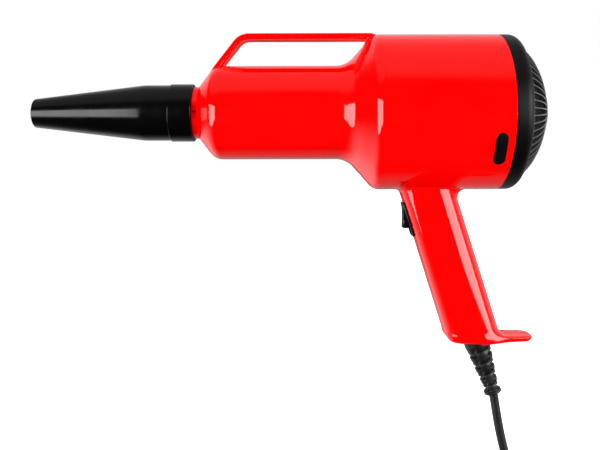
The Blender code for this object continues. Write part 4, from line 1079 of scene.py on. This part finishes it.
class Surround:
    """World shader whose brightness depends on the direction looked in."""

    def __init__(self):
        world = bpy.data.worlds.new("studio")
        world.use_nodes = True
        bpy.context.scene.world = world
        self.tree = world.node_tree
        self.tree.nodes.clear()
        self.way = self.node("ShaderNodeTexCoord").outputs["Generated"]
        self.x, self.y, self.z = self.node("ShaderNodeSeparateXYZ", Vector=self.way).outputs

    def node(self, kind, settings=(), **inputs):
        made = self.tree.nodes.new(kind)
        for key, value in dict(settings).items():
            setattr(made, key, value)
        for key, value in inputs.items():
            plug(self.tree, made.inputs[key.replace("_", " ")], value)
        return made

    def math(self, operation, *values, kind="ShaderNodeMath", result=0):
        made = self.node(kind, {"operation": operation})
        for socket, value in zip(made.inputs, values):
            plug(self.tree, socket, value)
        return made.outputs[result]

    def stepped(self, value, low, high, start, end):
        made = self.node("ShaderNodeMapRange", {"interpolation_type": "SMOOTHSTEP"}, Value=value,
                         From_Min=low, From_Max=high, To_Min=start, To_Max=end)
        return made.outputs[0]

    def ramp(self, value, stops):
        """Brightness along a value between -1 and 1, through (value, brightness) stops."""
        made = self.node("ShaderNodeValToRGB", Fac=self.math("MULTIPLY_ADD", value, 0.5, 0.5))
        elements = made.color_ramp.elements
        while len(elements) < len(stops):
            elements.new(1.0)
        for element, (position, shade) in zip(elements, stops):
            element.position = (position + 1) / 2
            element.color = (shade, shade, shade, 1.0)
        return made.outputs["Color"]

    def glow(self, centre, size, low, high, strength):
        """Soft patch of light around a direction; size stretches it along each axis."""
        vector = "ShaderNodeVectorMath"
        offset = self.math("SUBTRACT", self.way, centre, kind=vector)
        scaled = self.math("DIVIDE", offset, size, kind=vector)
        length = self.math("LENGTH", scaled, kind=vector, result="Value")
        return self.stepped(length, low, high, strength, 0.0)

    def finish(self, brightness):
        seen = self.node("ShaderNodeLightPath").outputs["Is Camera Ray"]
        brightness = self.math("MAXIMUM", brightness, seen)
        glow = self.node("ShaderNodeBackground", Color=(1, 1, 1, 1), Strength=brightness)
        self.node("ShaderNodeOutputWorld", Surface=glow.outputs[0])


def add_surround():
    """A white sweep behind, a soft ceiling, and a dark room on the camera's side."""
    sky = Surround()
    lifted = sky.math("MULTIPLY_ADD", sky.math("ABSOLUTE", sky.x), 0.27, sky.z)
    ceiling = sky.stepped(lifted, 0.68, 0.92, 0.012, 0.34)
    turned = sky.math("MULTIPLY_ADD", sky.x, 0.3, sky.y)
    wall = sky.ramp(sky.z, [(-1, 0.16), (-0.77, 0.28), (-0.5, 0.38), (-0.2, 0.6), (0, 0.78),
                            (0.3, 0.75), (0.64, 0.55), (1, 0.33)])
    wall = sky.math("MULTIPLY", wall, sky.stepped(turned, 0.1, 0.5, 0.0, 1.0))
    gap = sky.glow((0, 1, 0), (0.6, 0.5, 0.35), 0.4, 1.1, 1.0)
    wall = sky.math("MULTIPLY", wall, sky.math("MULTIPLY_ADD", gap, -0.85, 1.0))
    table = sky.glow((-0.75, 0.433, -0.5), (0.75, 0.75, 0.4), 0.15, 1.25, 1.0)
    sky.finish(sky.math("ADD", sky.math("MAXIMUM", ceiling, wall), table))


LEFT_WINDOW = [(-78, 13), (-78, -18), (-70, -24), (-58, -26), (-46, -21), (-28, -15), (-28, 13)]
RIGHT_WINDOW = [(29, 20), (29, -7), (79, -7), (79, 20)]
WINDOW_RADIANCE = 7.0
FILLS = [(0, -40, 0.5), (0, 60, 0.35), (-85, -5, 0.45), (190, 10, 0.4)]     # azimuth, elevation, strength


def direction(azimuth, elevation):
    """Unit vector from the object. Azimuth 0 is the camera's side and 90 is to its right (+X)."""
    a, e = math.radians(azimuth), math.radians(elevation)
    return Vector((math.sin(a) * math.cos(e), -math.cos(a) * math.cos(e), math.sin(e)))


def add_window(name, outline):
    """Light panel seen from the object inside an outline of (azimuth, elevation) corners."""
    middle = Vector((-0.19, 0, -0.04))
    distance = 2.6
    points = [(middle + direction(*corner) * distance) / MM for corner in outline]
    mesh = made_mesh(name, [tuple(point) for point in points], [tuple(range(len(points)))])
    panel = linked(name, mesh)
    look = Look(name, 1.0)
    look.feed(look.shader, Emission_Color=(1, 1, 1, 1), Emission_Strength=WINDOW_RADIANCE)
    look.shader.inputs["Base Color"].default_value = (0, 0, 0, 1)
    mesh.materials.append(look.material)
    panel.visible_camera = False
    panel.visible_shadow = False


def add_fill(azimuth, elevation, strength):
    """Broad fill that lights colour without showing in the gloss."""
    light = bpy.data.lights.new("fill", "SUN")
    light.energy = strength * math.pi
    light.angle = math.radians(100)
    fill = linked("fill", light)
    fill.rotation_euler = direction(azimuth, elevation).to_track_quat("Z", "Y").to_euler()
    fill.visible_glossy = False


def add_camera():
    """Level camera on the object's left, a little under the barrel's height, at arm's length."""
    data = bpy.data.cameras.new("camera")
    data.sensor_width = 36
    data.lens = 41.16
    data.shift_x = -0.0033
    data.shift_y = -0.1216
    data.clip_start = 0.01
    camera = linked("camera", data)
    camera.location = (-0.1916, -0.549, -0.0315)
    camera.rotation_euler = (math.radians(90), math.radians(0.15), 0)
    bpy.context.scene.camera = camera


dress_frame()
add_shells()
add_shell_screws()
add_nozzle()
add_cover_ring()
add_dome()
add_foam()
add_buttons()
add_switch()
add_boot()
add_cord()
add_stage()
add_surround()
add_window("left_window", LEFT_WINDOW)
add_window("right_window", RIGHT_WINDOW)
for fill in FILLS:
    add_fill(*fill)
add_camera()
bpy.context.scene.view_settings.view_transform = "Standard"
